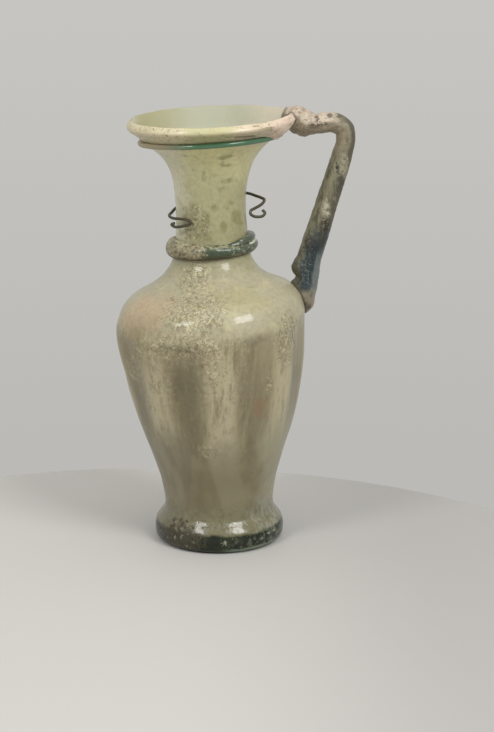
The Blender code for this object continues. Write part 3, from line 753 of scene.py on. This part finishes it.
    def lay_foot(self):
        """Glossy thin crust under the waist, and a clean dark green band, flecked, stained at the left."""
        fine_mottle, specks = self.fine_mottle, self.specks
        self.lay("#767258", (self.z, 24.0, 13.0), rough=0.17)
        silvery = self.spot(-34.0, 13.5, (11.0, 14.0, 13.0))
        self.lay("#96978A", silvery, (self.fine_streaks, 0.40, 0.56), 0.60, rough=0.2)
        self.lay("#77725F", self.spot(-152.0, 11.0, (9.0, 14.0, 8.0)), 0.7)
        glossy = self.between(self.up, 22.0, 16.0)
        self.lay("#8A866D", glossy, (fine_mottle, 0.52, 0.64), 0.5, rough=0.12)
        self.lay("#625D45", glossy, (fine_mottle, 0.48, 0.36), 0.5, rough=0.24)
        level = self.ragged(self.z, 3.0)
        band = self.between(level, 9.0, 7.4)
        self.lay(self.colours.clear, band, rough=0.15)
        self.lay("#5C634F", band, (self.across, 2.0, 12.0), (fine_mottle, 0.49, 0.60), 0.7, rough=0.3)
        self.lay("#35402A", band, (self.mottle, 0.52, 0.68), 0.6, rough=0.2)
        stained = self.share(self.spot(-130.0, 6.5, (21.0, 14.0, 8.5), 0.4, 1.6, fine_mottle), glossy)
        self.lay("#413A2A", stained, (specks, 0.60, 0.48), rough=0.45)
        self.lay("#746F5C", stained, (specks, 0.55, 0.66), rough=0.4)
        self.lay("#767A66", band, (specks, 0.64, 0.72), 0.8, rough=0.4)
        self.lay("#717C6B", (level, 2.8, 1.8), (self.across, 0.0, 8.0), rough=0.4)
        self.raise_by(0.25, glossy, fine_mottle)

    def lay_mouth(self):
        """The pale inside, and the lip: cream at the left, green glass in front, pinkish by the handle."""
        across, specks = self.across, self.specks
        inside = self.attribute("inside")
        self.lay(self.colours.inside, inside, rough=0.55)
        self.lay("#A39F7B", inside, (across, -8.0, -30.0))
        self.lay("#C9C1AB", inside, (across, 8.0, 26.0))
        lip = self.share((self.z, 170.0, 174.0), self.less(inside))
        self.lay("#C4BF95", lip)
        cream = self.share(lip, (across, -8.0, -14.0))
        self.lay("#D6CBA9", cream, rough=0.55)
        self.lay("#DED5B4", cream, (specks, 0.56, 0.66), rough=0.55)
        self.lay("#A29875", cream, (specks, 0.44, 0.34), rough=0.55)
        right = self.share(lip, (across, 3.0, 12.0))
        self.lay("#DACBB0", right, rough=0.5)
        self.lay(self.colours.pink, lip, (across, 18.0, 25.0), rough=0.65)
        dragged = self.pattern(1.5, 4.0, stretch=(6.0, 6.0, 1.0))
        self.lay("#8B7A5E", right, (dragged, 0.46, 0.34), 0.5, rough=0.5)
        for place, spread in LIP_STREAKS:
            streak = self.patch(Vector(place) * MM, spread, 0.6, 1.2, specks)
            self.lay("#63543D", lip, streak, 0.75, rough=0.5)
        self.lay("#A6A58F", lip, (self.y, -6.0, 4.0))
        # Painted shadow: a thin grey line along the top of the mouth where the lip turns in
        self.lay("#6E6D60", self.attribute("rim_shade"), 0.8)
        self.raise_by(0.30, lip, dragged)

    def laid(self):
        """Lays every part of the vessel's finish and its broad relief, and returns the material."""
        self.lay_neck_and_shoulder()
        self.lay_fluted_body()
        self.lay_crust()
        self.lay_foot()
        self.lay_mouth()
        self.raise_by(0.22, self.mottle)
        self.raise_by(0.12, self.streaks)
        self.raise_by(0.07, self.fine_streaks)
        return self.done()


# Pieces


def floor_line(start):
    """The round inside of the floor, from the foot of the inner wall down to the axis."""
    line = []
    for step in range(1, FLOOR_STEPS + 1):
        turn = math.pi / 2.0 * step / FLOOR_STEPS
        drop = (start.y - BASE_THICKNESS) * math.sin(turn)
        line.append(Vector((start.x * math.cos(turn), start.y - drop)))
    line[-1].x = 0.0
    return line


def make_vessel(sizes, colours):
    """The blown body with its foot, neck, mouth and lip."""
    outline = Outline(sizes)
    outside = outline.wall(OUTSIDE_STEP)
    inside = [point for point in moved_out(outline.wall(INSIDE_STEP), -sizes.wall) if point.y > WAIST_HEIGHT]
    lip = outline.lip(outside[-1], inside[-1], LIP_STEPS)
    underside = [Vector((0.0, 0.0)), Vector((FOOT_FLAT_RADIUS * 0.6, 0.0))]
    outer = underside + outline.foot(FOOT_STEPS) + outside[1:-1] + lip
    bm = bmesh.new()
    spun(bm, outer + inside[-2::-1] + floor_line(inside[0]), VESSEL_SIDES,
         inside_from=len(outer) - LIP_STEPS - 1)
    shape_vessel(bm, sizes, outline)
    material = VesselGlass(colours, outline).laid()
    return finished("vessel_glass_body", bm, material, "vessel_glass", "vessel")


def shape_vessel(bm, sizes, outline):
    """Gives the turned vessel its uneven lip, crust, flutes and sag, and marks where each finish goes."""
    marks = bm.verts.layers.float["inside"]
    hollow, pitted, smudge, rim_shade = (bm.verts.layers.float.new(name)
                                        for name in ("hollow", "pitted", "smudge", "rim_shade"))
    lip_middle = Vector((sizes.lip_radius - LIP_DEPTH / 2.0, sizes.rim_height - LIP_BAND * 0.35))
    for vert in bm.verts:
        x, y, height = vert.co
        radius = math.hypot(x, y)
        angle = math.atan2(y, x)
        # The flutes' darker crust and painted shade follow their depth, and run further down
        vert[hollow] = outline.flute(angle, height, FLUTE_SHADE_AND_STAIN_BOTTOM)
        if height > outline.seat_height:
            back = eased(0.5 + 1.2 * math.sin(angle))
            if radius < sizes.lip_radius - LIP_DEPTH * LIP_TOP:
                vert[marks] = max(vert[marks], back)
            vert[rim_shade] = rim_shadow_line(sizes, radius, height, angle)
            radius, height = uneven_lip(outline, lip_middle, Vector((radius, height)), angle, back, vert.co)
        if vert[marks] < 0.5 and height > 0.2 * MM and radius > 1.0 * MM:
            vert[pitted] = outline.covered(PITTED, angle, height)
            vert[smudge] = outline.covered(SMUDGED, angle, height)
            broad = blend(16.0, 22.0, eased(height / (40.0 * MM))) * MM
            lift = sizes.relief * unevenness(vert.co, broad, 6.0 * MM) * eased(height / (3.0 * MM))
            radius += lift + vert[pitted] * sizes.crust_relief * noise.noise(vert.co / (2.6 * MM))
        vert.co = outline.settled(radius, angle, height)


def uneven_lip(outline, middle, point, angle, back, place):
    """A point of the lip's section after its unevenness and the swelling beside the handle."""
    top = Vector((outline.sizes.lip_radius - LIP_DEPTH * LIP_TOP, outline.sizes.rim_height))
    if point.x < top.x and point.y > outline.seat_height:
        down = (top.y - point.y) / (top.y - outline.seat_height)
        straight = blend(top.x, SEAT_RADIUS - outline.sizes.wall, down)
        point = Vector((blend(point.x, straight, 0.8 * back), point.y))
    swelling = bump_at(math.degrees(angle), LIP_SWELLING_ANGLE, LIP_SWELLING_SPREAD)
    wave = 1.0 + 0.08 * noise.noise(place / (7.0 * MM)) + 0.10 * swelling
    grown = middle + (point - middle) * wave
    grown.y -= LIP_SAG * swelling * eased((middle.y - point.y) / (2.0 * MM))
    return point.lerp(grown, eased((point.y - outline.seat_height) / (1.5 * MM)))


def rim_shadow_line(sizes, radius, height, angle):
    """Share of the thin grey line of painted shadow along the top of the mouth, where the lip turns in."""
    ring = sizes.lip_radius - LIP_DEPTH * blend(0.30, 0.46, eased(0.5 - 1.5 * math.sin(angle)))
    shown = 1.0 - bump_at(math.degrees(angle), RIM_LINE_GAP_ANGLE, RIM_LINE_GAP_SPREAD)
    return shown * bump_at(radius, ring, RIM_LINE_WIDTH) * (height > sizes.rim_height - 2.0 * MM)


def crust_finish(name, hex_colour):
    """Weathering crust of glass: chalky layers that flake, matt and nearly white to the eye."""
    made = Finish(name, linear(hex_colour), 0.65)
    made.shade(0.7, (made.pattern(0.8, 3.0), 0.50, 0.36))
    made.raise_by(0.08, made.pattern(0.7, 3.0))
    return made.done()


def make_foot_flakes(sizes):
    """Pale flakes of crust that still stick to the clean band of the foot."""
    outline = Outline(sizes)
    bm = bmesh.new()
    for i, (degrees, level, size) in enumerate(FLAKES):
        disc = bmesh.ops.create_circle(bm, cap_ends=True, segments=FLAKE_SIDES, radius=1.0)
        skirt = bmesh.ops.extrude_face_region(bm, geom=list({f for v in disc["verts"] for f in v.link_faces}))
        top = [item for item in skirt["geom"] if isinstance(item, bmesh.types.BMVert)]
        for verts, off, taper in ((disc["verts"], FLAKE_UNDER, 1.0), (top, FLAKE_OVER, FLAKE_TAPER)):
            for vert in verts:
                torn = 0.9 + 1.8 * noise.noise(Vector((vert.co.x * 1.9, vert.co.y * 1.9, i * 3.1)))
                reach = size * MM * torn * taper
                height = level * MM + vert.co.y * reach
                turn = math.degrees(vert.co.x * reach / sizes.foot_radius)
                vert.co = outline.on_skin(degrees + turn, height, off)
    return finished("foot_crust_flakes", bm, crust_finish("flaking_foot_crust", "#7E8170"), "vessel_glass")


def handle_keys(sizes, outline):
    """Centre, half thickness and half width at each key of the handle's line."""
    angle = math.radians(HANDLE_ANGLE)
    outward = Vector((math.cos(angle), math.sin(angle), 0.0))
    rim = outline.settled(sizes.lip_radius, angle, sizes.rim_height)
    shoulder = outline.on_skin(HANDLE_ANGLE, HANDLE_FOOT_HEIGHT)
    keys = []
    for start, table in ((rim, HANDLE_TOP_LINE), (shoulder, HANDLE_FOOT_LINE)):
        for out, up, thickness, width in table:
            place = start + outward * (out * HANDLE_REACH) + Vector((0.0, 0.0, up * HANDLE_REACH))
            keys.append((place, thickness * sizes.handle_thickness / 2.0, width * sizes.handle_width / 2.0))
    middle = len(HANDLE_TOP_LINE)
    keys.insert(middle, tuple(blend(a, b, 0.5) for a, b in zip(keys[middle - 1], keys[middle])))
    return keys


def handle_finish(colours):
    """Drawn blue-green glass under a dull grey-beige crust: matt and pitted, glassy low down."""
    made = Finish("crusted_drawn_glass", colours.handle, 0.5, IOR=1.5, Coat_Weight=0.15, Coat_Roughness=0.15)
    lean = math.radians(HANDLE_LEAN)
    streaks = made.pattern(2.4, 5.0, stretch=(1.0, 1.0, 6.0), turn=lean)
    fine_streaks = made.pattern(1.1, 3.0, stretch=(1.0, 1.0, 5.0), turn=lean)
    pits = made.pattern(1.3, 4.0, distortion=0.6)
    up = made.ragged(made.z, 14.0)
    side = made.attribute("outer")
    outer = made.share((made.ragged(side, 1.2, streaks), -1.0, 1.0))
    made.lay("#817C63", (outer, 0.45, 0.15), 0.8)
    made.lay("#4D493A", (outer, 0.56, 0.80), 0.85)
    made.lay("#87836A", (streaks, 0.53, 0.66), 0.75)
    made.lay("#4C4839", (streaks, 0.48, 0.36), 0.75)
    made.lay("#433F2E", (fine_streaks, 0.49, 0.36), 0.65)
    made.lay("#9C987E", (fine_streaks, 0.54, 0.68), 0.4)
    # Bend, arm and fold
    folded = made.between(made.x, 53.0, 45.0)
    made.lay("#746D57", (up, 160.0, 170.0), 0.85)
    made.lay("#989079", (up, 168.0, 178.0), (outer, 0.36, 0.66), 0.45)
    made.lay("#B9AA96", (up, 168.0, 178.0), (outer, 0.36, 0.66), folded)
    made.lay("#93866F", (up, 166.0, 176.0), (outer, 0.54, 0.24))
    made.lay("#534D3C", (made.x, 48.0, 54.0), (outer, 0.62, 0.9))
    made.lay("#635646", (up, 172.0, 176.0), (pits, 0.41, 0.34), 0.7, rough=0.6)
    made.lay("#7D6A5B", (up, 172.0, 176.0), (made.x, 43.0, 36.0), (streaks, 0.50, 0.40), 0.6, rough=0.6)
    # Clean teal glass low down, crusted again at its tip
    clean_side = made.share((made.ragged(side, 1.6, pits), -1.0, 1.0))
    glassy = made.share((up, 139.0, 128.0), (clean_side, -0.05, 0.14))
    made.lay(colours.teal, glassy, rough=0.28)
    made.lay("#425253", glassy, (fine_streaks, 0.55, 0.68), 0.5, rough=0.4)
    made.lay("#2C4444", glassy, (pits, 0.51, 0.60), 0.6, rough=0.25)
    made.lay("#45432F", glassy, (streaks, 0.47, 0.40), 0.7, rough=0.4)
    made.lay("#10181C", glassy, (pits, 0.44, 0.34), 0.8, rough=0.25)
    made.lay("#676E6B", (up, 130.0, 120.0), (outer, 0.70, 0.88), 0.8, rough=0.4)
    made.lay("#857C6A", (up, 112.0, 105.0))
    made.lay("#4B4938", (made.x, 36.5, 31.5), (up, 150.0, 130.0), rough=0.5)
    # Single pits and worn places, the seam darkened by dirt and painted shade, then the crumpled fold
    for across, height, wide, high, hex_colour, amount in HANDLE_MARKS:
        place = Vector((across, 0.0, height)) * MM
        near = made.patch(place, (wide * 1.4, 12.0, high * 1.4), 0.45, 0.8, fine_streaks)
        made.lay(hex_colour, near, (pits, 0.40, 0.54), amount, rough=0.55)
    # Dirt and painted shade: the glass is darkened along the seam where the handle meets the vessel
    made.lay("#4A4034", made.attribute("seam"), rough=0.6)
    fold = made.share((up, 168.0, 176.0), folded)
    crumpled = made.pattern(3.2, 4.0, stretch=(1.6, 1.0, 0.6), distortion=0.8)
    made.lay("#6E5F50", fold, made.crease(crumpled, 0.035), 0.4, rough=0.6)
    made.raise_by(0.35, pits)
    made.raise_by(0.25, streaks)
    made.raise_by(0.6, fold, crumpled)
    return made.done()


def web_at(height):
    """How far the web between the handle and the shoulder stands out at a height."""
    up = height - HANDLE_WEB_HEIGHT
    if up > 0.0:
        return HANDLE_WEB * (1.0 - min(1.0, up / HANDLE_WEB_ABOVE)) ** 1.5
    return HANDLE_WEB * bump_at(up, 0.0, HANDLE_WEB_BELOW)


def make_handle(sizes, colours):
    """The drawn handle: folded on to the lip, bent, and run down to its pad on the shoulder."""
    outline = Outline(sizes)
    keys = handle_keys(sizes, outline)
    side = Vector((-math.sin(math.radians(HANDLE_ANGLE)), math.cos(math.radians(HANDLE_ANGLE)), 0.0))
    line = smooth_line([key[0] for key in keys], HANDLE_STEPS)
    halves = smooth_line([Vector(key[1:]) for key in keys], HANDLE_STEPS)
    rings = []
    for i, (centre, half) in enumerate(zip(line, halves)):
        along = (line[min(i + 1, len(line) - 1)] - line[max(i - 1, 0)]).normalized()
        rings.append((centre, side * half.y, along.cross(side) * half.x))
    bm = bmesh.new()
    rod(bm, rings, ROD_SIDES)
    bm.normal_update()
    outer = bm.verts.layers.float.new("outer")
    seam = bm.verts.layers.float.new("seam")
    vessel = bpy.data.objects["vessel_glass_body"]
    for i, vert in enumerate(bm.verts):
        centre, _, up = rings[i // ROD_SIDES]
        vert[outer] = (vert.co - centre).dot(up) / up.length_squared
        found, place, _, _ = vessel.closest_point_on_mesh(vert.co, distance=SEAM_SEARCH)
        if found:
            vert[seam] = eased(1.0 - (vert.co - place).length / SEAM_WIDTH)
        stretched = Vector((vert.co.x, vert.co.y, vert.co.z * 0.4))
        lift = 1.5 * unevenness(stretched, 7.0 * MM, 3.0 * MM) + 0.6 * noise.noise(vert.co / (1.8 * MM))
        folded = eased((HANDLE_FOLD_REACH - vert.co.x) / (8.0 * MM))
        folded *= eased((vert.co.z - HANDLE_FOLD_HEIGHT) / (5.0 * MM))
        lift *= blend(1.0, 2.0, folded)
        web = web_at(vert.co.z) * eased(-0.3 - 1.4 * vert[outer])
        vert.co += vert.normal * (sizes.relief * lift + web)
    return finished("drawn_handle", bm, handle_finish(colours), "handle_glass", "handle")


def trail_finish(colours):
    """Dark green trailed glass, half of it under a beige crust: glossy where clean, with white flecks,
    a pale top that is chalk and painted highlight, and a painted shadow along its underside.
    """
    made = Finish("dark_trailed_glass", colours.trail, 0.25, IOR=1.5, Coat_Weight=0.3, Coat_Roughness=0.1)
    across = made.ragged(made.x, 9.0)
    specks = made.pattern(1.5, 4.0, distortion=0.5)
    rise = made.share((made.ragged(made.attribute("rise"), 0.6, specks), -1.0, 1.0))
    made.lay("#2B362C", (specks, 0.48, 0.36), 0.7, rough=0.3)
    made.lay("#4C5043", (across, 6.0, 12.0), 0.6, rough=0.35)
    made.lay("#8E937E", (across, 2.0, 8.0), (specks, 0.55, 0.66), rough=0.5)
    beige = made.share((made.ragged(made.between(across, 2.0, -13.0), 1.8, specks), 0.35, 0.75))
    made.lay("#847C61", beige, rough=0.5)
    made.lay("#5A5138", beige, (specks, 0.51, 0.40), rough=0.5)
    made.lay("#ACA382", beige, (specks, 0.56, 0.66), rough=0.5)
    # Chalk and painted highlight: a pale band along the top of the coil
    made.lay("#A29D7E", (rise, 0.84, 0.95), (specks, 0.40, 0.58), 0.75, rough=0.5)
    # Painted shadow: the underside of the coil is darkened
    made.lay("#413827", (rise, 0.16, 0.06), 0.85, rough=0.5)
    made.raise_by(0.25, specks)
    return made.done()


def make_neck_trail(sizes, colours):
    """The coil at the root of the neck and its lapping end."""
    outline = Outline(sizes)
    half = sizes.trail_band / 2.0
    middle = outline.radius(TRAIL_HEIGHT)
    section = []
    for degrees in range(-80, 90, 10):
        turn = math.radians(degrees)
        section.append(Vector((middle + TRAIL_PROUD * math.cos(turn), TRAIL_HEIGHT + half * math.sin(turn))))
    for share in (0.9, 0.45, 0.0, -0.45, -0.9):
        height = TRAIL_HEIGHT + half * share
        section.append(Vector((outline.radius(height) - TRAIL_SINK, height)))
    bm = bmesh.new()
    spun(bm, section, TRAIL_SIDES, closed=True)
    rise = bm.verts.layers.float.new("rise")
    for vert in bm.verts:
        x, y, height = vert.co
        angle = math.degrees(math.atan2(y, x))
        up = (height - TRAIL_HEIGHT) / half
        vert[rise] = up
        radius = math.hypot(x, y) * (1.0 + 0.02 * unevenness(vert.co, 8.0 * MM, 3.0 * MM))
        if up > 0.0:
            off_full = math.remainder(angle - TRAIL_FULL_ANGLE, 360.0)
            fuller = TRAIL_UNEVEN * bump_at(off_full, 0.0, TRAIL_FULL_SPREAD)
            lower = TRAIL_UNEVEN * bump_at(angle, TRAIL_LOW_ANGLE, TRAIL_LOW_SPREAD)
            height += half * up * (fuller - lower)
        vert.co = outline.settled(radius, math.radians(angle), height)
    material = trail_finish(colours)
    coil = finished("neck_coil", bm, material, "trail_glass", "neck_trail")
    strand = [(degrees, TRAIL_HEIGHT + climb * sizes.trail_band + STRAND_LIFT, share * STRAND_THICKNESS / 2.0)
              for degrees, climb, share in STRAND_LINE]
    lay_strand("neck_coil_lapping_end", outline, strand, STRAND_OFF, material)
    groove = [(degrees, height - GROOVE_DROP, GROOVE_HALF) for degrees, height, _ in strand[1:6]]
    chalk = crust_finish("chalky_groove_crust", "#C9CCB8")
    lay_strand("coil_groove_crust", outline, groove, GROOVE_OFF, chalk)
    return coil


def lay_strand(name, outline, places, off, material):
    """A round strand laid on the neck through places of (degrees, height, half thickness). The share
    off says how many half thicknesses its middle stands off the glass."""
    keys = [Vector((*outline.on_skin(degrees, height, half * off), half)) for degrees, height, half in places]
    line = smooth_line(keys, STRAND_STEPS)
    bm = bmesh.new()
    rod(bm, round_rings([key.xyz for key in line], [key.w for key in line]), STRAND_SIDES)
    rise = bm.verts.layers.float.new("rise")
    for vert in bm.verts:
        vert[rise] = 0.0
        vert.co *= 1.0 + 0.002 * noise.noise(vert.co / (1.6 * MM))
    return finished(name, bm, material, "trail_glass")


def thread_finish(colours):
    """Clear sea-green thread glass, glossy, crusted beige at one side."""
    made = Finish("sea_green_thread_glass", colours.thread, 0.18, IOR=1.5, Transmission_Weight=0.3,
                  Coat_Weight=0.3, Coat_Roughness=0.08)
    made.lay("#A89B7C", (made.ragged(made.x, 14.0), -8.0, -26.0), rough=0.5)
    return made.done()


def make_rim_thread(sizes, colours):
    """The fine thread laid round the mouth in the seat under the lip."""
    outline = Outline(sizes)
    half = sizes.thread_thickness / 2.0
    seat = moved_out(outline.wall(OUTSIDE_STEP)[-2:], half)[-1]
    section = [seat + Vector((math.cos(turn), math.sin(turn))) * half
               for turn in (2.0 * math.pi * side / THREAD_SIDES for side in range(THREAD_SIDES))]
    bm = bmesh.new()
    spun(bm, section, VESSEL_SIDES, closed=True)
    for vert in bm.verts:
        x, y, height = vert.co
        vert.co = outline.settled(math.hypot(x, y), math.atan2(y, x), height)
    return finished("rim_glass_thread", bm, thread_finish(colours), "thread_glass", "rim_thread")


def wire_finish(colours):
    """Bronze wire, long patinated: dark olive-brown, dull, with a little metal in its sheen."""
    made = Finish("patinated_bronze", colours.bronze, 0.5, Metallic=0.45)
    made.lay("#6B6A58", (made.pattern(1.5, 4.0), 0.55, 0.7), rough=0.65)
    made.raise_by(0.05, made.pattern(0.6, 3.0))
    return made.done()


def make_neck_wire(sizes, colours):
    """The bent bronze wire round the back of the neck, with a scroll at each end."""
    outline = Outline(sizes)
    thickness = sizes.wire_thickness
    keys = [outline.on_skin(degrees, WIRE_HEIGHT + rise * thickness, WIRE_GAP + (off + 0.5) * thickness)
            for degrees, rise, off in WIRE_LINE]
    line = smooth_line(keys, WIRE_STEPS)
    bm = bmesh.new()
    rod(bm, round_rings(line, [thickness / 2.0] * len(line)), WIRE_SIDES)
    return finished("bronze_neck_wire", bm, wire_finish(colours), "bronze_wire", "neck_wire")


def ramp(tree, coordinate, axis, low, high, start, end, **settings):
    """Colour that runs from one hex value to another as an axis of a coordinate goes from low to high."""
    where = add(tree, "ShaderNodeTexCoord", {}).outputs[coordinate]
    axes = add(tree, "ShaderNodeSeparateXYZ", {0: where}).outputs
    share = add(tree, "ShaderNodeMapRange", {"Value": axes[axis], "From Min": low, "From Max": high},
                **settings)
    tones = {6: (*linear(start), 1.0), 7: (*linear(end), 1.0)}
    return add(tree, "ShaderNodeMix", {0: share.outputs[0], **tones}, data_type="RGBA").outputs[2]


def lay_table():
    """The pale round table, a little darker at the right."""
    bm = bmesh.new()
    bmesh.ops.create_cone(bm, cap_ends=True, segments=192, radius1=TABLE_RADIUS, radius2=TABLE_RADIUS,
                          depth=TABLE_DEPTH, matrix=Matrix.Translation((*TABLE_MIDDLE, -TABLE_DEPTH / 2.0)))
    mesh = bpy.data.meshes.new("table")
    bm.to_mesh(mesh)
    bm.free()
    material = bpy.data.materials.new("pale_table")
    material.use_nodes = True
    tree = material.node_tree
    shader = tree.nodes["Principled BSDF"]
    tone = ramp(tree, "Object", "X", -0.02, 0.10, "#BEBCB8", "#A9A7A4", interpolation_type="SMOOTHSTEP")
    tree.links.new(tone, shader.inputs["Base Color"])
    shader.inputs["Roughness"].default_value = 0.6
    mesh.materials.append(material)
    table = bpy.data.objects.new("table", mesh)
    bpy.context.scene.collection.objects.link(table)


def hang_softboxes():
    """Square soft lights round the jug, each turned to its middle."""
    target = Vector((0.0, 0.0, LIGHT_TARGET_HEIGHT))
    for name, azimuth, elevation, side, power in SOFTBOXES:
        light = bpy.data.lights.new(name, "AREA")
        light.shape = "SQUARE"
        light.size = side
        light.energy = power
        across = math.radians(azimuth)
        up = math.radians(elevation)
        towards = Vector((math.sin(across) * math.cos(up), -math.cos(across) * math.cos(up), math.sin(up)))
        lamp = bpy.data.objects.new(name, light)
        lamp.location = target + LIGHT_DISTANCE * towards
        lamp.rotation_euler = (target - lamp.location).to_track_quat("-Z", "Y").to_euler()
        bpy.context.scene.collection.objects.link(lamp)


def make_stage():
    """The table, the soft lights, the plain grey background and the camera."""
    lay_table()
    hang_softboxes()
    scene = bpy.context.scene
    world = bpy.data.worlds.new("studio_grey")
    world.use_nodes = True
    tone = ramp(world.node_tree, "Generated", "Z", -0.28, 0.0, "#BBBAB6", "#C6C5C1")
    world.node_tree.links.new(tone, world.node_tree.nodes["Background"].inputs["Color"])
    scene.world = world
    scene.view_settings.view_transform = "Standard"
    camera_data = bpy.data.cameras.new("camera")
    camera_data.sensor_fit = "VERTICAL"
    camera_data.sensor_height = SENSOR_HEIGHT
    camera_data.lens = LENS
    camera = bpy.data.objects.new("camera", camera_data)
    camera.location = CAMERA_PLACE
    camera.rotation_euler = (math.radians(90.0 - CAMERA_DIP), 0.0, 0.0)
    scene.collection.objects.link(camera)
    scene.camera = camera


class JUG_OT_vessel(bpy.types.Operator):
    """Build the blown vessel and the flakes of crust on its foot"""
    bl_idname = "jug.vessel"
    bl_label = "Vessel"

    def execute(self, context):
        make_vessel(context.scene.jug_sizes, context.scene.jug_colours)
        make_foot_flakes(context.scene.jug_sizes)
        return {"FINISHED"}


class JUG_OT_handle(bpy.types.Operator):
    """Build the drawn handle"""
    bl_idname = "jug.handle"
    bl_label = "Handle"

    def execute(self, context):
        make_handle(context.scene.jug_sizes, context.scene.jug_colours)
        return {"FINISHED"}


class JUG_OT_trails(bpy.types.Operator):
    """Build the coil round the neck and the thread under the lip"""
    bl_idname = "jug.trails"
    bl_label = "Trails"

    def execute(self, context):
        make_neck_trail(context.scene.jug_sizes, context.scene.jug_colours)
        make_rim_thread(context.scene.jug_sizes, context.scene.jug_colours)
        return {"FINISHED"}


class JUG_OT_wire(bpy.types.Operator):
    """Build the bronze wire round the neck"""
    bl_idname = "jug.wire"
    bl_label = "Wire"

    def execute(self, context):
        make_neck_wire(context.scene.jug_sizes, context.scene.jug_colours)
        return {"FINISHED"}


class JUG_OT_stage(bpy.types.Operator):
    """Set the table, the lights, the background and the camera"""
    bl_idname = "jug.stage"
    bl_label = "Stage"

    def execute(self, context):
        make_stage()
        return {"FINISHED"}


class JUG_PT_builder(bpy.types.Panel):
    """Lists the jug's sizes, colours and pieces"""
    bl_idname = "JUG_PT_builder"
    bl_label = "Glass Jug"
    bl_space_type = "VIEW_3D"
    bl_region_type = "UI"
    bl_category = "Jug"

    def draw(self, context):
        for group in (context.scene.jug_sizes, context.scene.jug_colours):
            for name in group.__annotations__:
                self.layout.prop(group, name)
        for operator in OPERATORS:
            self.layout.operator(operator.bl_idname)


OPERATORS = (JUG_OT_vessel, JUG_OT_handle, JUG_OT_trails, JUG_OT_wire, JUG_OT_stage)
CLASSES = (JugSizes, JugColours, *OPERATORS, JUG_PT_builder)


def register():
    for cls in CLASSES:
        bpy.utils.register_class(cls)
    bpy.types.Scene.jug_sizes = bpy.props.PointerProperty(type=JugSizes)
    bpy.types.Scene.jug_colours = bpy.props.PointerProperty(type=JugColours)


def unregister():
    del bpy.types.Scene.jug_colours
    del bpy.types.Scene.jug_sizes
    for cls in reversed(CLASSES):
        bpy.utils.unregister_class(cls)


def main():
    register()
    bpy.ops.jug.vessel()
    bpy.ops.jug.handle()
    bpy.ops.jug.trails()
    bpy.ops.jug.wire()
    bpy.ops.jug.stage()


if __name__ == "__main__":
    main()
